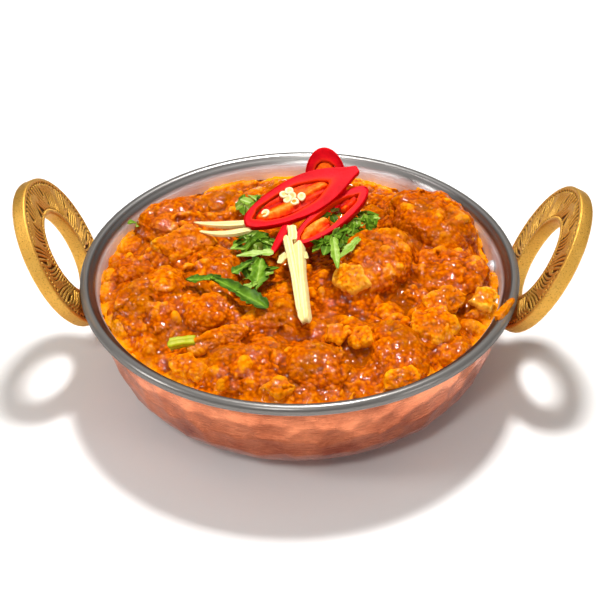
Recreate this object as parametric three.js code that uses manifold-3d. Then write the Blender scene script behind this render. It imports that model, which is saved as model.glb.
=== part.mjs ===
// Lamb masala in a small karahi: a hammered copper bowl with a stainless steel liner that is rolled over
// the rim, two cast brass ring handles, and a filling of lamb and onion pieces in a thick masala sauce,
// topped with sliced red chilli, ginger matchsticks and fresh coriander.
//
// Frame: millimetres, +Z up, the handles lie along X, the origin is the middle of the base on the ground.

import * as THREE from 'three';
import { mergeVertices } from 'three/addons/utils/BufferGeometryUtils.js';
import Module from 'manifold-3d';

const wasm = await Module();
wasm.setup();

// ---- Driving dimensions ------------------------------------------------------------------------------

const radians = THREE.MathUtils.degToRad;
const GAP = 0.3;                 // clearance between pieces that touch
const ROUND = 48;                // sides of everything turned on the bowl's axis

const BASE_RADIUS = 43.4;        // flat foot of the bowl
const WALL_TOP_RADIUS = 71.16;   // outside of the copper where it ends under the rim
const WALL_TOP = 39.7;
const WALL_FOOT_SLOPE = 0.42;    // radians above the ground where the wall leaves the foot
const WALL_LEAN = 0.17;          // radians outward from upright at the top
const FOOT_PULL = 24.7;          // how far the wall keeps each of those directions
const LEAN_PULL = 29.2;
const COPPER_THICKNESS = 1.0;
const LINER_THICKNESS = 0.9;
const LINER_OUTSIDE = COPPER_THICKNESS + GAP;
const LINER_INSIDE = LINER_OUTSIDE + LINER_THICKNESS;
const FILLING_OUTSIDE = LINER_INSIDE + GAP;

const RIM_RADIUS = 73;           // centre of the rolled bead
const RIM_HEIGHT = 42;
const BEAD_RADIUS = 1.85;
const FLARE_BULGE = new THREE.Vector2(-0.1, 0.25);   // of the liner where it opens out below the bead

// Cast rings are fixed by hand: each leans a little differently. The lean is that of the ring's plane
// above the ground, in radians, and the root is the height at which that plane crosses the rim's radius.
const HANDLES = {
  right: { turn: 0, lean: radians(62.5), root: 34.5 },
  left: { turn: Math.PI, lean: radians(66), root: 35 },
};
const HANDLE_THICKNESS = 5.4;
const HANDLE_BEVEL = 0.8;
const RING = { centre: 15, along: 27.6, across: 24 };
const RING_HOLE = { centre: 14.5, along: 15, across: 11.6 };

const RIVET_HEIGHT = 35;
const RIVET_SPREAD = 11.1;       // of each rivet from the handle's middle line
const RIVET_RADIUS = 2.9;
const RIVET_DOME = 1.9;

const WALL_LEVEL = 36.3;         // the sauce at the wall
const CROWN = 4.4;               // how much higher it stands in the middle
const SKIRT = 0.42;              // share of a piece's height that the sauce climbs around it
const RIVET_HOLLOW = { at: [66, 12], reach: 7, depth: 4 };   // where the sauce leaves a rivet bare

// ---- Finishes ----------------------------------------------------------------------------------------

const finish = (color, roughness, metalness = 0) =>
  new THREE.MeshStandardMaterial({ color, roughness, metalness });

const COPPER = () => finish(0xb5654a, 0.35, 1);
const STEEL = () => finish(0xb9b2ac, 0.22, 1);
const BRASS = () => finish(0xc79a45, 0.4, 1);
const SAUCE = () => finish(0xc4590b, 0.35);
const LAMB = () => finish(0xb0520f, 0.4);
const ONION = () => finish(0xe58a1e, 0.35);
const CHILLI = () => finish(0xd3121a, 0.25);
const CHILLI_CORE = () => finish(0xf0701c, 0.4);
const GINGER = () => finish(0xf0e3a0, 0.5);
const CORIANDER = () => finish(0x3f7d22, 0.5);
const STEM = () => finish(0xb4c22a, 0.4);

// ---- Solids ------------------------------------------------------------------------------------------

// A closed solid from a geometry: corners welded, flat triangles dropped, faces turned outwards.
function solidOf(geometry) {
  const bare = geometry.clone();
  bare.deleteAttribute('normal');
  bare.deleteAttribute('uv');
  const welded = mergeVertices(bare, 1e-4);
  const places = welded.attributes.position;
  const corner = (i) => new THREE.Vector3().fromBufferAttribute(places, i);
  const triangles = [];
  let volume = 0;
  for (let i = 0; i < welded.index.count; i += 3) {
    const [a, b, c] = [0, 1, 2].map((k) => welded.index.getX(i + k));
    if (a === b || b === c || c === a) continue;
    triangles.push([a, b, c]);
    volume += corner(a).dot(corner(b).cross(corner(c)));
  }
  const turned = volume < 0 ? triangles.map(([a, b, c]) => [a, c, b]) : triangles;
  const solid = new wasm.Manifold(new wasm.Mesh({
    numProp: 3,
    vertProperties: new Float32Array(places.array),
    triVerts: new Uint32Array(turned.flat()),
  }));
  return solid;
}

function geometryOf(solid) {
  const mesh = solid.getMesh();
  const geometry = new THREE.BufferGeometry();
  geometry.setAttribute('position', new THREE.BufferAttribute(mesh.vertProperties, 3));
  geometry.setIndex(new THREE.BufferAttribute(mesh.triVerts, 1));
  geometry.computeVertexNormals();
  return geometry;
}

// Only the largest piece of what a cut leaves.
function largest(solid) {
  return solid.decompose().sort((a, b) => b.volume() - a.volume())[0];
}

function turnedOnAxis(profile, sides = ROUND) {
  return new THREE.LatheGeometry(profile, sides).rotateX(Math.PI / 2);
}

const karahi = new THREE.Group();

// A mesh whose own origin is the middle of its box, so that it can be picked up and placed alone.
function place(name, solid, material, parent = karahi) {
  const geometry = geometryOf(solid);
  geometry.computeBoundingBox();
  const middle = geometry.boundingBox.getCenter(new THREE.Vector3());
  geometry.translate(-middle.x, -middle.y, -middle.z);
  const mesh = new THREE.Mesh(geometry, material);
  mesh.name = name;
  mesh.position.copy(middle);
  parent.add(mesh);
  return mesh;
}

// ---- Bowl --------------------------------------------------------------------------------------------

const foot = new THREE.Vector2(BASE_RADIUS, 0);
const wallTop = new THREE.Vector2(WALL_TOP_RADIUS, WALL_TOP);
const wallCurve = new THREE.CubicBezierCurve(
  foot,
  new THREE.Vector2(Math.cos(WALL_FOOT_SLOPE), Math.sin(WALL_FOOT_SLOPE)).multiplyScalar(FOOT_PULL).add(foot),
  new THREE.Vector2(-Math.sin(WALL_LEAN), -Math.cos(WALL_LEAN)).multiplyScalar(LEAN_PULL).add(wallTop),
  wallTop,
);

// A point of the bowl's wall, a share of the way up and a depth in from the copper's outside.
function wallPoint(share, depth) {
  const point = wallCurve.getPoint(share);
  const along = wallCurve.getTangent(share);
  return new THREE.Vector2(point.x - along.y * depth, point.y + along.x * depth);
}

function wall(depth, steps, highest = 1) {
  const points = [];
  for (let i = 0; i <= steps; i += 1) points.push(wallPoint((highest * i) / steps, depth));
  return points;
}

const onAxis = (point) => new THREE.Vector2(0, point.y);

function closedBowl(outside, inside) {
  return [onAxis(outside[0]), ...outside, ...inside.reverse(), onAxis(inside[inside.length - 1])];
}

function copperShell() {
  return solidOf(turnedOnAxis(closedBowl(wall(0, 7), wall(COPPER_THICKNESS, 4))));
}

// The steel goes up inside the copper, flares out over its edge and ends in a rolled bead.
function steelLiner(grow = 0) {
  const bead = [];
  const [from, to, steps] = [-135, 150, 7];
  for (let i = 0; i <= steps; i += 1) {
    const turn = radians(from + ((to - from) * i) / steps);
    bead.push(new THREE.Vector2(
      RIM_RADIUS + (BEAD_RADIUS + grow) * Math.cos(turn),
      RIM_HEIGHT + (BEAD_RADIUS + grow) * Math.sin(turn),
    ));
  }
  const inside = wall(LINER_INSIDE + grow, 5);
  const edge = inside[inside.length - 1];
  const flare = bead[bead.length - 1].clone().lerp(edge, 0.55).add(FLARE_BULGE);
  const outside = wall(LINER_OUTSIDE, 4);
  const ledge = outside[outside.length - 1].clone().add(new THREE.Vector2(0, GAP + 0.1));
  return solidOf(turnedOnAxis(closedBowl([...outside, ledge, ...bead, flare], inside)));
}

// How far up the wall's curve a height is reached, a depth in from the copper's outside.
function wallShare(height, depth) {
  let [low, high] = [0, 1];
  for (let i = 0; i < 30; i += 1) {
    const half = (low + high) / 2;
    if (wallPoint(half, depth).y < height) low = half;
    else high = half;
  }
  return low;
}

const wallRadius = (height, depth) => wallPoint(wallShare(height, depth), depth).x;

// ---- Handles and rivets ------------------------------------------------------------------------------

// A leaning oval ring: the bowl's wall cuts its lower end away, so that two legs meet the copper.
function ringHandle({ lean, root }) {
  const outline = new THREE.Shape();
  const [along, across] = [RING.along - HANDLE_BEVEL, RING.across - HANDLE_BEVEL];
  outline.absellipse(RING.centre, 0, along, across, 0, 2 * Math.PI);
  const hole = new THREE.Path();
  const [holeAlong, holeAcross] = [RING_HOLE.along + HANDLE_BEVEL, RING_HOLE.across + HANDLE_BEVEL];
  hole.absellipse(RING_HOLE.centre, 0, holeAlong, holeAcross, 0, 2 * Math.PI);
  outline.holes.push(hole);
  const ring = new THREE.ExtrudeGeometry(outline, {
    depth: HANDLE_THICKNESS - 2 * HANDLE_BEVEL,
    bevelEnabled: true,
    bevelThickness: HANDLE_BEVEL,
    bevelSize: HANDLE_BEVEL,
    bevelSegments: 1,
    curveSegments: 16,
  });
  ring.translate(0, 0, HANDLE_BEVEL - HANDLE_THICKNESS);
  ring.rotateY(-lean);
  ring.translate(RIM_RADIUS, 0, root);
  const clearance = wall(-GAP, 7);
  const above = RIM_HEIGHT + BEAD_RADIUS + GAP;
  const beadEdge = RIM_RADIUS + BEAD_RADIUS + GAP;
  const keepOut = [
    new THREE.Vector2(0, -1), new THREE.Vector2(BASE_RADIUS, -1), ...clearance,
    new THREE.Vector2(beadEdge, RIM_HEIGHT - BEAD_RADIUS), new THREE.Vector2(beadEdge, above),
    new THREE.Vector2(0, above),
  ];
  return largest(solidOf(ring).subtract(solidOf(turnedOnAxis(keepOut))));
}

function rivetHead(side, grow = 0) {
  const dome = [];
  const steps = 3;
  for (let i = 0; i <= steps; i += 1) {
    const turn = (i / steps) * (Math.PI / 2);
    dome.push(new THREE.Vector2(
      (RIVET_RADIUS + grow) * Math.cos(turn),
      (RIVET_DOME + grow) * Math.sin(turn),
    ));
  }
  dome[steps].x = 0;
  const head = turnedOnAxis([new THREE.Vector2(0, 0), ...dome], 12);
  const seat = LINER_INSIDE + GAP + 0.15;
  const share = wallShare(RIVET_HEIGHT, seat);
  const { x: radius } = wallPoint(share, seat);
  const slope = wallCurve.getTangent(share).angle();
  head.rotateY(-slope);
  head.translate(radius, 0, RIVET_HEIGHT);
  head.rotateZ(Math.asin((side * RIVET_SPREAD) / radius));
  return solidOf(head);
}

place('copper_shell', copperShell(), COPPER());
place('steel_liner', steelLiner(), STEEL());
for (const [side, fixing] of Object.entries(HANDLES)) {
  const handle = new THREE.Group();
  handle.rotation.z = fixing.turn;
  place(`handle_${side}`, ringHandle(fixing), BRASS(), handle);
  place(`rivet_${side}_1`, rivetHead(1), STEEL(), handle);
  place(`rivet_${side}_2`, rivetHead(-1), STEEL(), handle);
  karahi.add(handle);
}

// ---- Filling: where each piece lies ------------------------------------------------------------------

// Lamb and onion pieces: place on the plan, height of the top, half sizes, turn and lean in degrees.
const LAMB_PIECES = {
  lamb_back_left: { at: [-46, 30], top: 46, half: [15, 11, 8], turn: 40, lean: 10 },
  lamb_back_second: { at: [-27, 38], top: 45.4, half: [14, 10, 7], turn: 12, lean: 10 },
  lamb_back_middle: { at: [-5, 52], top: 42.5, half: [14, 8, 6], turn: -4, lean: 6 },
  lamb_back_right: { at: [46, 28.5], top: 50, half: [21, 13, 9], turn: -58, lean: -8 },
  lamb_left_small: { at: [-57.5, 2], top: 43, half: [9.5, 7.5, 6], turn: 20, lean: 8 },
  lamb_left_large: { at: [-45, -19], top: 46.8, half: [18, 14, 8], turn: 48, lean: 14 },
  lamb_middle_left: { at: [-30, 0], top: 47, half: [11, 8.5, 6.5], turn: -20, lean: 10 },
  lamb_front_left: { at: [-27, -25], top: 46, half: [10, 9, 6], turn: 30, lean: 10 },
  lamb_middle: { at: [-7, -25], top: 45, half: [9.5, 8, 5], turn: 10, lean: 8 },
  lamb_right: { at: [26, 0], top: 52, half: [13.5, 16, 10], turn: -12, lean: 10 },
  lamb_right_edge: { at: [50.5, -1], top: 45.8, half: [14.5, 12, 7], turn: -25, lean: 8 },
  lamb_front: { at: [-14, -50], top: 44.2, half: [14, 11, 7], turn: 25, lean: 14 },
  lamb_front_middle: { at: [7, -50], top: 45, half: [12, 10, 7], turn: -8, lean: 12 },
  lamb_front_right: { at: [33.5, -43.5], top: 45.4, half: [9.5, 14, 7], turn: 12, lean: 12 },
  lamb_low_right: { at: [51.5, -40], top: 41.4, half: [7, 7.5, 5], turn: 0, lean: 8 },
};

const ONION_PIECES = {
  onion_petal_left: { at: [-41, 9.5], top: 48, half: [12, 6.5, 3.2], turn: 24, lean: 22 },
  onion_ridge_left: { at: [-24, -40], top: 45.4, half: [12.5, 3.8, 3.6], turn: 33, lean: 26 },
  onion_low_left: { at: [-33, -51.5], top: 42.2, half: [7, 4.5, 3.4], turn: -30, lean: 14 },
  onion_middle: { at: [18.5, -11.5], top: 49, half: [7, 5.5, 3], turn: -45, lean: 32 },
  onion_right: { at: [48, -20.5], top: 46.6, half: [8.5, 5, 3], turn: 22, lean: 30 },
  onion_right_low: { at: [45, -32], top: 46, half: [8.5, 7, 4.4], turn: -20, lean: 16 },
  onion_front_small: { at: [13.5, -37.5], top: 45.4, half: [4.6, 3.8, 3], turn: 12, lean: 24 },
  onion_front_second: { at: [21.5, -39], top: 45, half: [4.6, 4.4, 3.2], turn: -20, lean: 20 },
  onion_front_curl: { at: [34, -57], top: 42.4, half: [6.5, 4, 3], turn: 10, lean: 26 },
  onion_right_end: { at: [61.5, -17], top: 44.6, half: [4.4, 5.5, 3], turn: 22, lean: 12 },
  onion_front_flap: { at: [-4, -61], top: 42.8, half: [5.5, 4.2, 3], turn: 0, lean: 22 },
};

const PIECES = { ...LAMB_PIECES, ...ONION_PIECES };

// Height of the sauce: a low crown that climbs a little around every piece.
function sauceHeight(x, y) {
  const reach = wallRadius(WALL_LEVEL, FILLING_OUTSIDE);
  const out = Math.min(1, Math.hypot(x, y) / reach);
  const crown = WALL_LEVEL + CROWN * (1 - out * out);
  let height = crown;
  for (const { at, top, half, turn } of Object.values(PIECES)) {
    const spin = radians(turn);
    const [dx, dy] = [x - at[0], y - at[1]];
    const u = (dx * Math.cos(spin) + dy * Math.sin(spin)) / (half[0] * 1.12);
    const v = (dy * Math.cos(spin) - dx * Math.sin(spin)) / (half[1] * 1.12);
    height = Math.max(height, crown + (top - crown) * SKIRT * Math.exp(-((u * u + v * v) ** 1.5)));
  }
  const edge = THREE.MathUtils.smoothstep(1 - out, 0, 0.12);
  const { at, reach: spread, depth } = RIVET_HOLLOW;
  const near = Math.hypot(x - at[0], y - at[1]) / spread;
  return THREE.MathUtils.lerp(WALL_LEVEL, height, edge) - depth * Math.exp(-(near ** 2));
}

// A rounded block with a gently uneven skin and a flat underside, such as a cut of stewed meat.
const CHUNK_PROFILE = [[0, -0.5], [0.95, -0.5], [1, 0], [0.86, 0.6], [0.5, 0.92], [0, 1]];
const LITTLE_PROFILE = [[0, -0.4], [0.95, -0.4], [0.95, 0.4], [0.55, 0.92], [0, 1]];

function chunk({ at, top, half, turn, lean }, grow = 0, sides = 9, shape = CHUNK_PROFILE) {
  const block = turnedOnAxis(shape.map(([out, up]) => new THREE.Vector2(out, up)), sides);
  const places = block.attributes.position;
  const squared = (value) => Math.sign(value) * Math.abs(value) ** 0.75;
  for (let i = 0; i < places.count; i += 1) {
    const [x, y, z] = [places.getX(i), places.getY(i), places.getZ(i)];
    const wobble = 1 + 0.05 * Math.sin(3 * x + at[0]) + 0.05 * Math.sin(4 * z + at[1]);
    places.setXYZ(
      i,
      squared(x) * wobble * (half[0] + grow),
      squared(y) * wobble * (half[1] + grow),
      z * (half[2] + grow),
    );
  }
  block.rotateX(radians(lean));
  block.rotateZ(radians(turn));
  block.translate(at[0], at[1], top - half[2]);
  return solidOf(block);
}

// Everything inside the liner, below the rim's top.
function fillingSpace() {
  const side = wall(FILLING_OUTSIDE, 5);
  const brim = new THREE.Vector2(side[side.length - 1].x, 80);
  return solidOf(turnedOnAxis([onAxis(side[0]), ...side, brim, onAxis(brim)]));
}

// The sauce: a disc whose top rings are raised to the uneven surface, closed by the liner's shape below.
function sauceBody() {
  const [rings, sectors] = [10, 32];
  const profile = [new THREE.Vector2(0, 0), new THREE.Vector2(RIM_RADIUS, 0)];
  for (let ring = rings; ring >= 0; ring -= 1) {
    profile.push(new THREE.Vector2((RIM_RADIUS * ring) / rings, WALL_LEVEL));
  }
  const disc = turnedOnAxis(profile, sectors);
  const places = disc.attributes.position;
  for (let i = 0; i < places.count; i += 1) {
    if (places.getZ(i) > WALL_LEVEL / 2) places.setZ(i, sauceHeight(places.getX(i), places.getY(i)));
  }
  return solidOf(disc).intersect(fillingSpace());
}

// ---- Garnish -----------------------------------------------------------------------------------------

// Slanting slices of red chilli: middle, half length and half width, thickness, turn in their own plane,
// and the lean of that plane (backwards about X) and sideways (about Y).
const CHILLI_SLICES = {
  chilli_slice_top: { at: [0.2, 22, 57], half: [22.3, 7.9], thick: 2.6, turn: 29, lean: 30 },
  chilli_slice_lower: { at: [10.6, 16, 52], half: [17.7, 6], thick: 2.6, turn: 44, lean: 20 },
  chilli_slice_back: { at: [8.1, 42.1, 51], half: [12, 7.6], thick: 2.6, turn: 96, lean: 62 },
  chilli_slice_edge: { at: [-5.9, 5.8, 49.7], half: [9.5, 2.3], thick: 2, turn: 63, lean: 8 },
};
const CHILLI_WALL = 2.3;
const CORE_THICKNESS = 1.4;

function ellipseShape([along, across]) {
  const shape = new THREE.Shape();
  shape.absellipse(0, 0, along, across, 0, 2 * Math.PI);
  return shape;
}

function slab(shape, thick, { at, turn, lean, side = 0 }, curveSegments = 11) {
  const body = new THREE.ExtrudeGeometry(shape, { depth: thick, bevelEnabled: false, curveSegments });
  body.translate(0, 0, -thick / 2);
  body.rotateZ(radians(turn));
  body.rotateX(radians(lean));
  body.rotateY(radians(side));
  body.translate(...at);
  return solidOf(body);
}

function chilliRing(slice, grow = 0) {
  const shape = ellipseShape(slice.half.map((size) => size + grow));
  if (!grow && slice.half[1] > 2 * CHILLI_WALL) {
    shape.holes.push(ellipseShape(slice.half.map((size) => size - CHILLI_WALL)));
  }
  return slab(shape, slice.thick + 2 * grow, slice);
}

// The pale membrane that fills the ring.
function chilliCore(slice) {
  const shape = ellipseShape(slice.half.map((size) => size - CHILLI_WALL - GAP));
  return slab(shape, CORE_THICKNESS, slice, 9);
}

// Ginger matchsticks: both ends, width and thickness, and how much the tip narrows.
const GINGER_STICKS = {
  ginger_middle_long: { from: [-4.1, 5.1, 51.6], to: [1.4, -31.9, 47], width: 3, thick: 2.3, tip: 0.45 },
  ginger_middle_second: { from: [-0.2, 2.6, 51], to: [3.3, -35.7, 46.4], width: 2.9, thick: 2.3, tip: 1 },
  ginger_short_left: { from: [-3.4, 11, 51.4], to: [-1.6, 3.5, 51.2], width: 2.6, thick: 1.6, tip: 0.8 },
  ginger_left_long: { from: [-17.8, 13.8, 50.8], to: [-37.3, 17, 48.8], width: 2.6, thick: 1.5, tip: 0.3 },
  ginger_left_second: { from: [-17.1, 10, 50.4], to: [-35.8, 12.3, 48.8], width: 3, thick: 1.6, tip: 0.3 },
};

function ginger({ from, to, width, thick, tip }, grow = 0) {
  const [start, end] = [new THREE.Vector3(...from), new THREE.Vector3(...to)];
  const length = start.distanceTo(end);
  const stick = new THREE.BoxGeometry(length + 2 * grow, 1, 1, 3, 1, 1);
  const places = stick.attributes.position;
  for (let i = 0; i < places.count; i += 1) {
    const share = places.getX(i) / (length + 2 * grow) + 0.5;
    const narrow = THREE.MathUtils.lerp(1, tip, share ** 2);
    places.setY(i, places.getY(i) * (width * narrow + 2 * grow));
    places.setZ(i, places.getZ(i) * (thick * narrow + 2 * grow));
  }
  const along = end.clone().sub(start).normalize();
  const across = new THREE.Vector3(0, 0, 1).cross(along).normalize();
  const up = along.clone().cross(across);
  stick.applyMatrix4(new THREE.Matrix4().makeBasis(along, across, up));
  stick.translate(...start.add(end).multiplyScalar(0.5).toArray());
  return solidOf(stick);
}

// Chopped coriander lies in loose heaps: middle of each, half sizes and turn.
const CORIANDER_HEAPS = {
  coriander_heap_back: { at: [-18.5, 33], top: 48.5, half: [6.5, 5, 3], turn: 30, lean: 0 },
  coriander_heap_left: { at: [-15.5, 7.5], top: 49.6, half: [8, 5.5, 3.2], turn: 0, lean: 0 },
  coriander_heap_front: { at: [-14, -7], top: 48, half: [5.5, 7.5, 2.6], turn: 12, lean: 0 },
  coriander_heap_right: { at: [16, 12.5], top: 50.6, half: [6, 15.5, 3.2], turn: -40, lean: 0 },
};

const CORIANDER_LEAVES = {
  coriander_leaf_large: { at: [-18.5, -21.6, 47.4], length: 21, width: 7, turn: -41, lean: 14, side: 4 },
  coriander_leaf_tip: { at: [-31, -15.6, 48.4], length: 12.5, width: 4.4, turn: -10, lean: 14, side: 0 },
  coriander_leaf_right: { at: [15.2, -5.5, 52.6], length: 16, width: 10, turn: 75, lean: 22, side: 0 },
};
const LEAF_THICKNESS = 0.6;
const LEAF_LOBES = 4;

// A leaf blade whose edge swings out and in once for every lobe.
function leaf(blade, grow = 0) {
  const outline = [];
  const steps = 4 * LEAF_LOBES;
  for (const side of [1, -1]) {
    for (let i = 0; i < steps; i += 1) {
      const share = side > 0 ? i / steps : 1 - i / steps;
      const lobe = 1 + 0.16 * Math.cos(2 * Math.PI * LEAF_LOBES * share);
      const half = (blade.width / 2) * Math.sin(Math.PI * share) ** 0.8 * lobe;
      outline.push(new THREE.Vector2((share - 0.5) * (blade.length + 2 * grow), side * (half + grow)));
    }
  }
  return slab(new THREE.Shape(outline), LEAF_THICKNESS + 2 * grow, blade);
}

const STEM_PIECE = { at: [-35.5, -45, 45.2], size: [8.4, 3.6, 3], turn: 14, lean: 22 };

function stem({ at, size, turn, lean }, grow = 0) {
  const block = new THREE.BoxGeometry(...size.map((length) => length + 2 * grow));
  block.rotateX(radians(lean));
  block.rotateZ(radians(turn));
  block.translate(...at);
  return solidOf(block);
}

// A strip of onion that lies up the liner and over the rim.
const RIM_STRIP = { from: [65.8, -29, 42.8], to: [70.4, -21, 46], width: 2.5, thick: 1.8, tip: 0.8 };

// ---- Filling: each piece gives way to the ones that lie on it ----------------------------------------

// What is already placed, a little larger, for the pieces below to keep clear of.
const laid = [1, -1].flatMap((side) => [0, 180].map((turn) => rivetHead(side, GAP).rotate([0, 0, turn])));

function lay(name, exact, grown, material) {
  let solid = exact;
  for (const other of laid) solid = solid.subtract(other);
  place(name, largest(solid), material);
  if (grown) laid.push(grown);
}

for (const [name, slice] of Object.entries(CHILLI_SLICES)) {
  lay(name, chilliRing(slice), chilliRing(slice, GAP), CHILLI());
}
for (const [name, stick] of Object.entries(GINGER_STICKS)) {
  lay(name, ginger(stick), ginger(stick, GAP), GINGER());
}
for (const [name, blade] of Object.entries(CORIANDER_LEAVES)) {
  lay(name, leaf(blade), leaf(blade, GAP), CORIANDER());
}
lay('green_stem', stem(STEM_PIECE), stem(STEM_PIECE, GAP), STEM());
lay('onion_rim_strip', ginger(RIM_STRIP).subtract(steelLiner(GAP)), ginger(RIM_STRIP, GAP), ONION());
for (const [name, heap] of Object.entries(CORIANDER_HEAPS)) {
  const [exact, grown] = [0, GAP].map((grow) => chunk(heap, grow, 8, LITTLE_PROFILE));
  lay(name, exact, grown, CORIANDER());
}
const space = fillingSpace();
for (const [name, piece] of Object.entries(ONION_PIECES)) {
  const [exact, grown] = [0, GAP].map((grow) => chunk(piece, grow, 7, LITTLE_PROFILE));
  lay(name, exact.intersect(space), grown, ONION());
}
for (const [name, piece] of Object.entries(LAMB_PIECES)) {
  lay(name, chunk(piece).intersect(space), chunk(piece, GAP), LAMB());
}
lay('masala_sauce', sauceBody(), null, SAUCE());

for (const name of ['chilli_slice_top', 'chilli_slice_back']) {
  place(`${name}_core`, chilliCore(CHILLI_SLICES[name]), CHILLI_CORE());
}

export default karahi;
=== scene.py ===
# %% [markdown]
# # Lamb masala in a karahi
#
# A karahi is a small round Indian serving pan. This one has a hammered copper shell, a stainless steel
# liner rolled over the rim and two cast brass ring handles. It holds lamb and onion in a thick masala
# sauce under a garnish of sliced red chilli, ginger matchsticks and coriander.
#
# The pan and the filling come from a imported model, the frame. This file reads the place and size of each
# piece from the frame and makes the surface that the eye sees. It can be read from top to bottom as a
# lesson: before each step a text cell says what is made and why it is made that way.

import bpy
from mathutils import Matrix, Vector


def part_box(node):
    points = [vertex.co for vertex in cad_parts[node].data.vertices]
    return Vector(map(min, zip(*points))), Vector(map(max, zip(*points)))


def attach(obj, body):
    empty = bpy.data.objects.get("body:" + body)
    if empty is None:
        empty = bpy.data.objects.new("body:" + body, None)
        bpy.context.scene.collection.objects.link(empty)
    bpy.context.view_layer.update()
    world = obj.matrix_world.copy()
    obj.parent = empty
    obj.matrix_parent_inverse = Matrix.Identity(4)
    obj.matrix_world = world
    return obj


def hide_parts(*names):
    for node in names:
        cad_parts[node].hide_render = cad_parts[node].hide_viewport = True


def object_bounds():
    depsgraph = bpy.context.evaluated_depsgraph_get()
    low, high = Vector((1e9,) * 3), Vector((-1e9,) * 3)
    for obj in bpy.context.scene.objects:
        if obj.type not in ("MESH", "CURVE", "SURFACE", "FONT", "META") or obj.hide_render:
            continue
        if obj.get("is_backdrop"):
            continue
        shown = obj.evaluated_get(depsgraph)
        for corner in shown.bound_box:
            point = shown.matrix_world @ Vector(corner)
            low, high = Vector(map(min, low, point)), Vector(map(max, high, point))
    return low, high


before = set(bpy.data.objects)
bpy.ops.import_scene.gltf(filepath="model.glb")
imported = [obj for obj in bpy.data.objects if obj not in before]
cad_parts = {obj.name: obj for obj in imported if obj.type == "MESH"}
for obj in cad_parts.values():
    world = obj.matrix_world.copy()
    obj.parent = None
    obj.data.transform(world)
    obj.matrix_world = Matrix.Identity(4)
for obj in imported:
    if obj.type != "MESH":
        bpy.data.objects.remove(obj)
frame_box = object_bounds()
print("frame nodes:", len(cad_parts))

# %% Libraries and units
import math

import bmesh
import bpy
import numpy as np
from mathutils import Matrix, Vector
from mathutils.bvhtree import BVHTree
from mathutils.kdtree import KDTree

MM = 0.001
FULL_TURN = 2 * math.pi
scene = bpy.context.scene


# %% [markdown]
# ## Helpers for meshes
#
# Nearly every piece here is a regular grid of points that a formula puts in place: a profile turned on
# the pan's axis, a section carried round a ring, or a disc raised to a height. So one helper turns a grid
# of points into faces and another turns points and faces into an object. Points are in millimetres.

# %% Grids and objects
def all_round(count):
    """Even turns all the way round, in radians."""
    return np.linspace(0, FULL_TURN, count, endpoint=False)


def grid_faces(rows, columns, closed_rows=False, closed_columns=False):
    """Quads over rows x columns points; a closed direction joins its last line to its first."""
    down = np.arange(rows if closed_rows else rows - 1)
    across = np.arange(columns if closed_columns else columns - 1)
    i, j = (a.ravel() for a in np.meshgrid(down, across, indexing="ij"))
    below, beside = (i + 1) % rows, (j + 1) % columns
    corners = [i * columns + j, below * columns + j, below * columns + beside, i * columns + beside]
    return np.stack(corners, 1)


def disc_of_squares(count):
    """Even squares over a disc of radius 1, by bending the square's rings into circles."""
    line = np.linspace(-1, 1, count)
    a, b = (g.ravel() for g in np.meshgrid(line, line, indexing="ij"))
    wide = np.abs(a) > np.abs(b)
    safe = np.where(wide, a, b)
    safe = np.where(safe == 0, 1, safe)
    turn = math.pi / 4 * np.where(wide, b, a) / safe
    x = np.where(wide, a * np.cos(turn), b * np.sin(turn))
    y = np.where(wide, a * np.sin(turn), b * np.cos(turn))
    return x, y


def mesh_object(name, points, faces, smooth=True, **values):
    """A mesh object in the scene, from points in millimetres, with named values stored on its points."""
    mesh = bpy.data.meshes.new(name)
    mesh.from_pydata((np.asarray(points, float) * MM).tolist(), [], [list(f) for f in faces])
    if smooth:
        mesh.shade_smooth()
    made = bpy.data.objects.new(name, mesh)
    scene.collection.objects.link(made)
    for value_name, numbers in values.items():
        set_values(made, value_name, numbers)
    return made


def outward(made):
    """Merge doubled points and turn all faces to point out."""
    work = bmesh.new()
    work.from_mesh(made.data)
    bmesh.ops.remove_doubles(work, verts=work.verts, dist=1e-7)
    bmesh.ops.dissolve_degenerate(work, edges=work.edges, dist=1e-8)
    bmesh.ops.recalc_face_normals(work, faces=work.faces)
    work.to_mesh(made.data)
    work.free()
    return made


def grid_border(rows, columns):
    """Numbers of the outermost points of a grid, in order round it."""
    i = np.arange(rows * columns).reshape(rows, columns)
    return np.concatenate([i[0, :-1], i[:-1, -1], i[-1, :0:-1], i[:0:-1, 0]]).tolist()


def both_sides(upper, lower, rows, columns):
    """Points and faces of a thin piece, from the grids of its upper and its lower side."""
    squares = grid_faces(rows, columns)
    faces = np.concatenate([squares, (squares + len(upper))[:, ::-1]])
    return np.concatenate([upper, lower]), faces.tolist()


def squarish(turns, power):
    """Reach of a square with rounded corners at some turns; a high power makes the corners sharp."""
    return 1 / (np.abs(np.cos(turns)) ** power + np.abs(np.sin(turns)) ** power) ** (1 / power)


def capped_tube(lines):
    """Points and faces of closed lines that follow one another, with both ends shut."""
    lines = np.array(lines)
    rows, columns = lines.shape[:2]
    faces = grid_faces(rows, columns, closed_columns=True).tolist()
    faces += [list(range(columns)), list(range((rows - 1) * columns, rows * columns))]
    return lines.reshape(-1, 3), faces


def joined(name, source, parts, smooth=True):
    """One object from several small shapes, each with points, faces and the values to store as source."""
    points, faces, values = [], [], []
    for part, part_faces, part_values in parts:
        first = sum(len(p) for p in points)
        faces += [[first + v for v in f] for f in part_faces]
        points.append(part)
        values.append(part_values)
    return mesh_object(name, np.concatenate(points), faces, smooth, **{source: np.concatenate(values)})


def points_of(made):
    """The vertices of an object in millimetres."""
    flat = np.empty(len(made.data.vertices) * 3)
    made.data.vertices.foreach_get("co", flat)
    return flat.reshape(-1, 3) / MM


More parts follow.
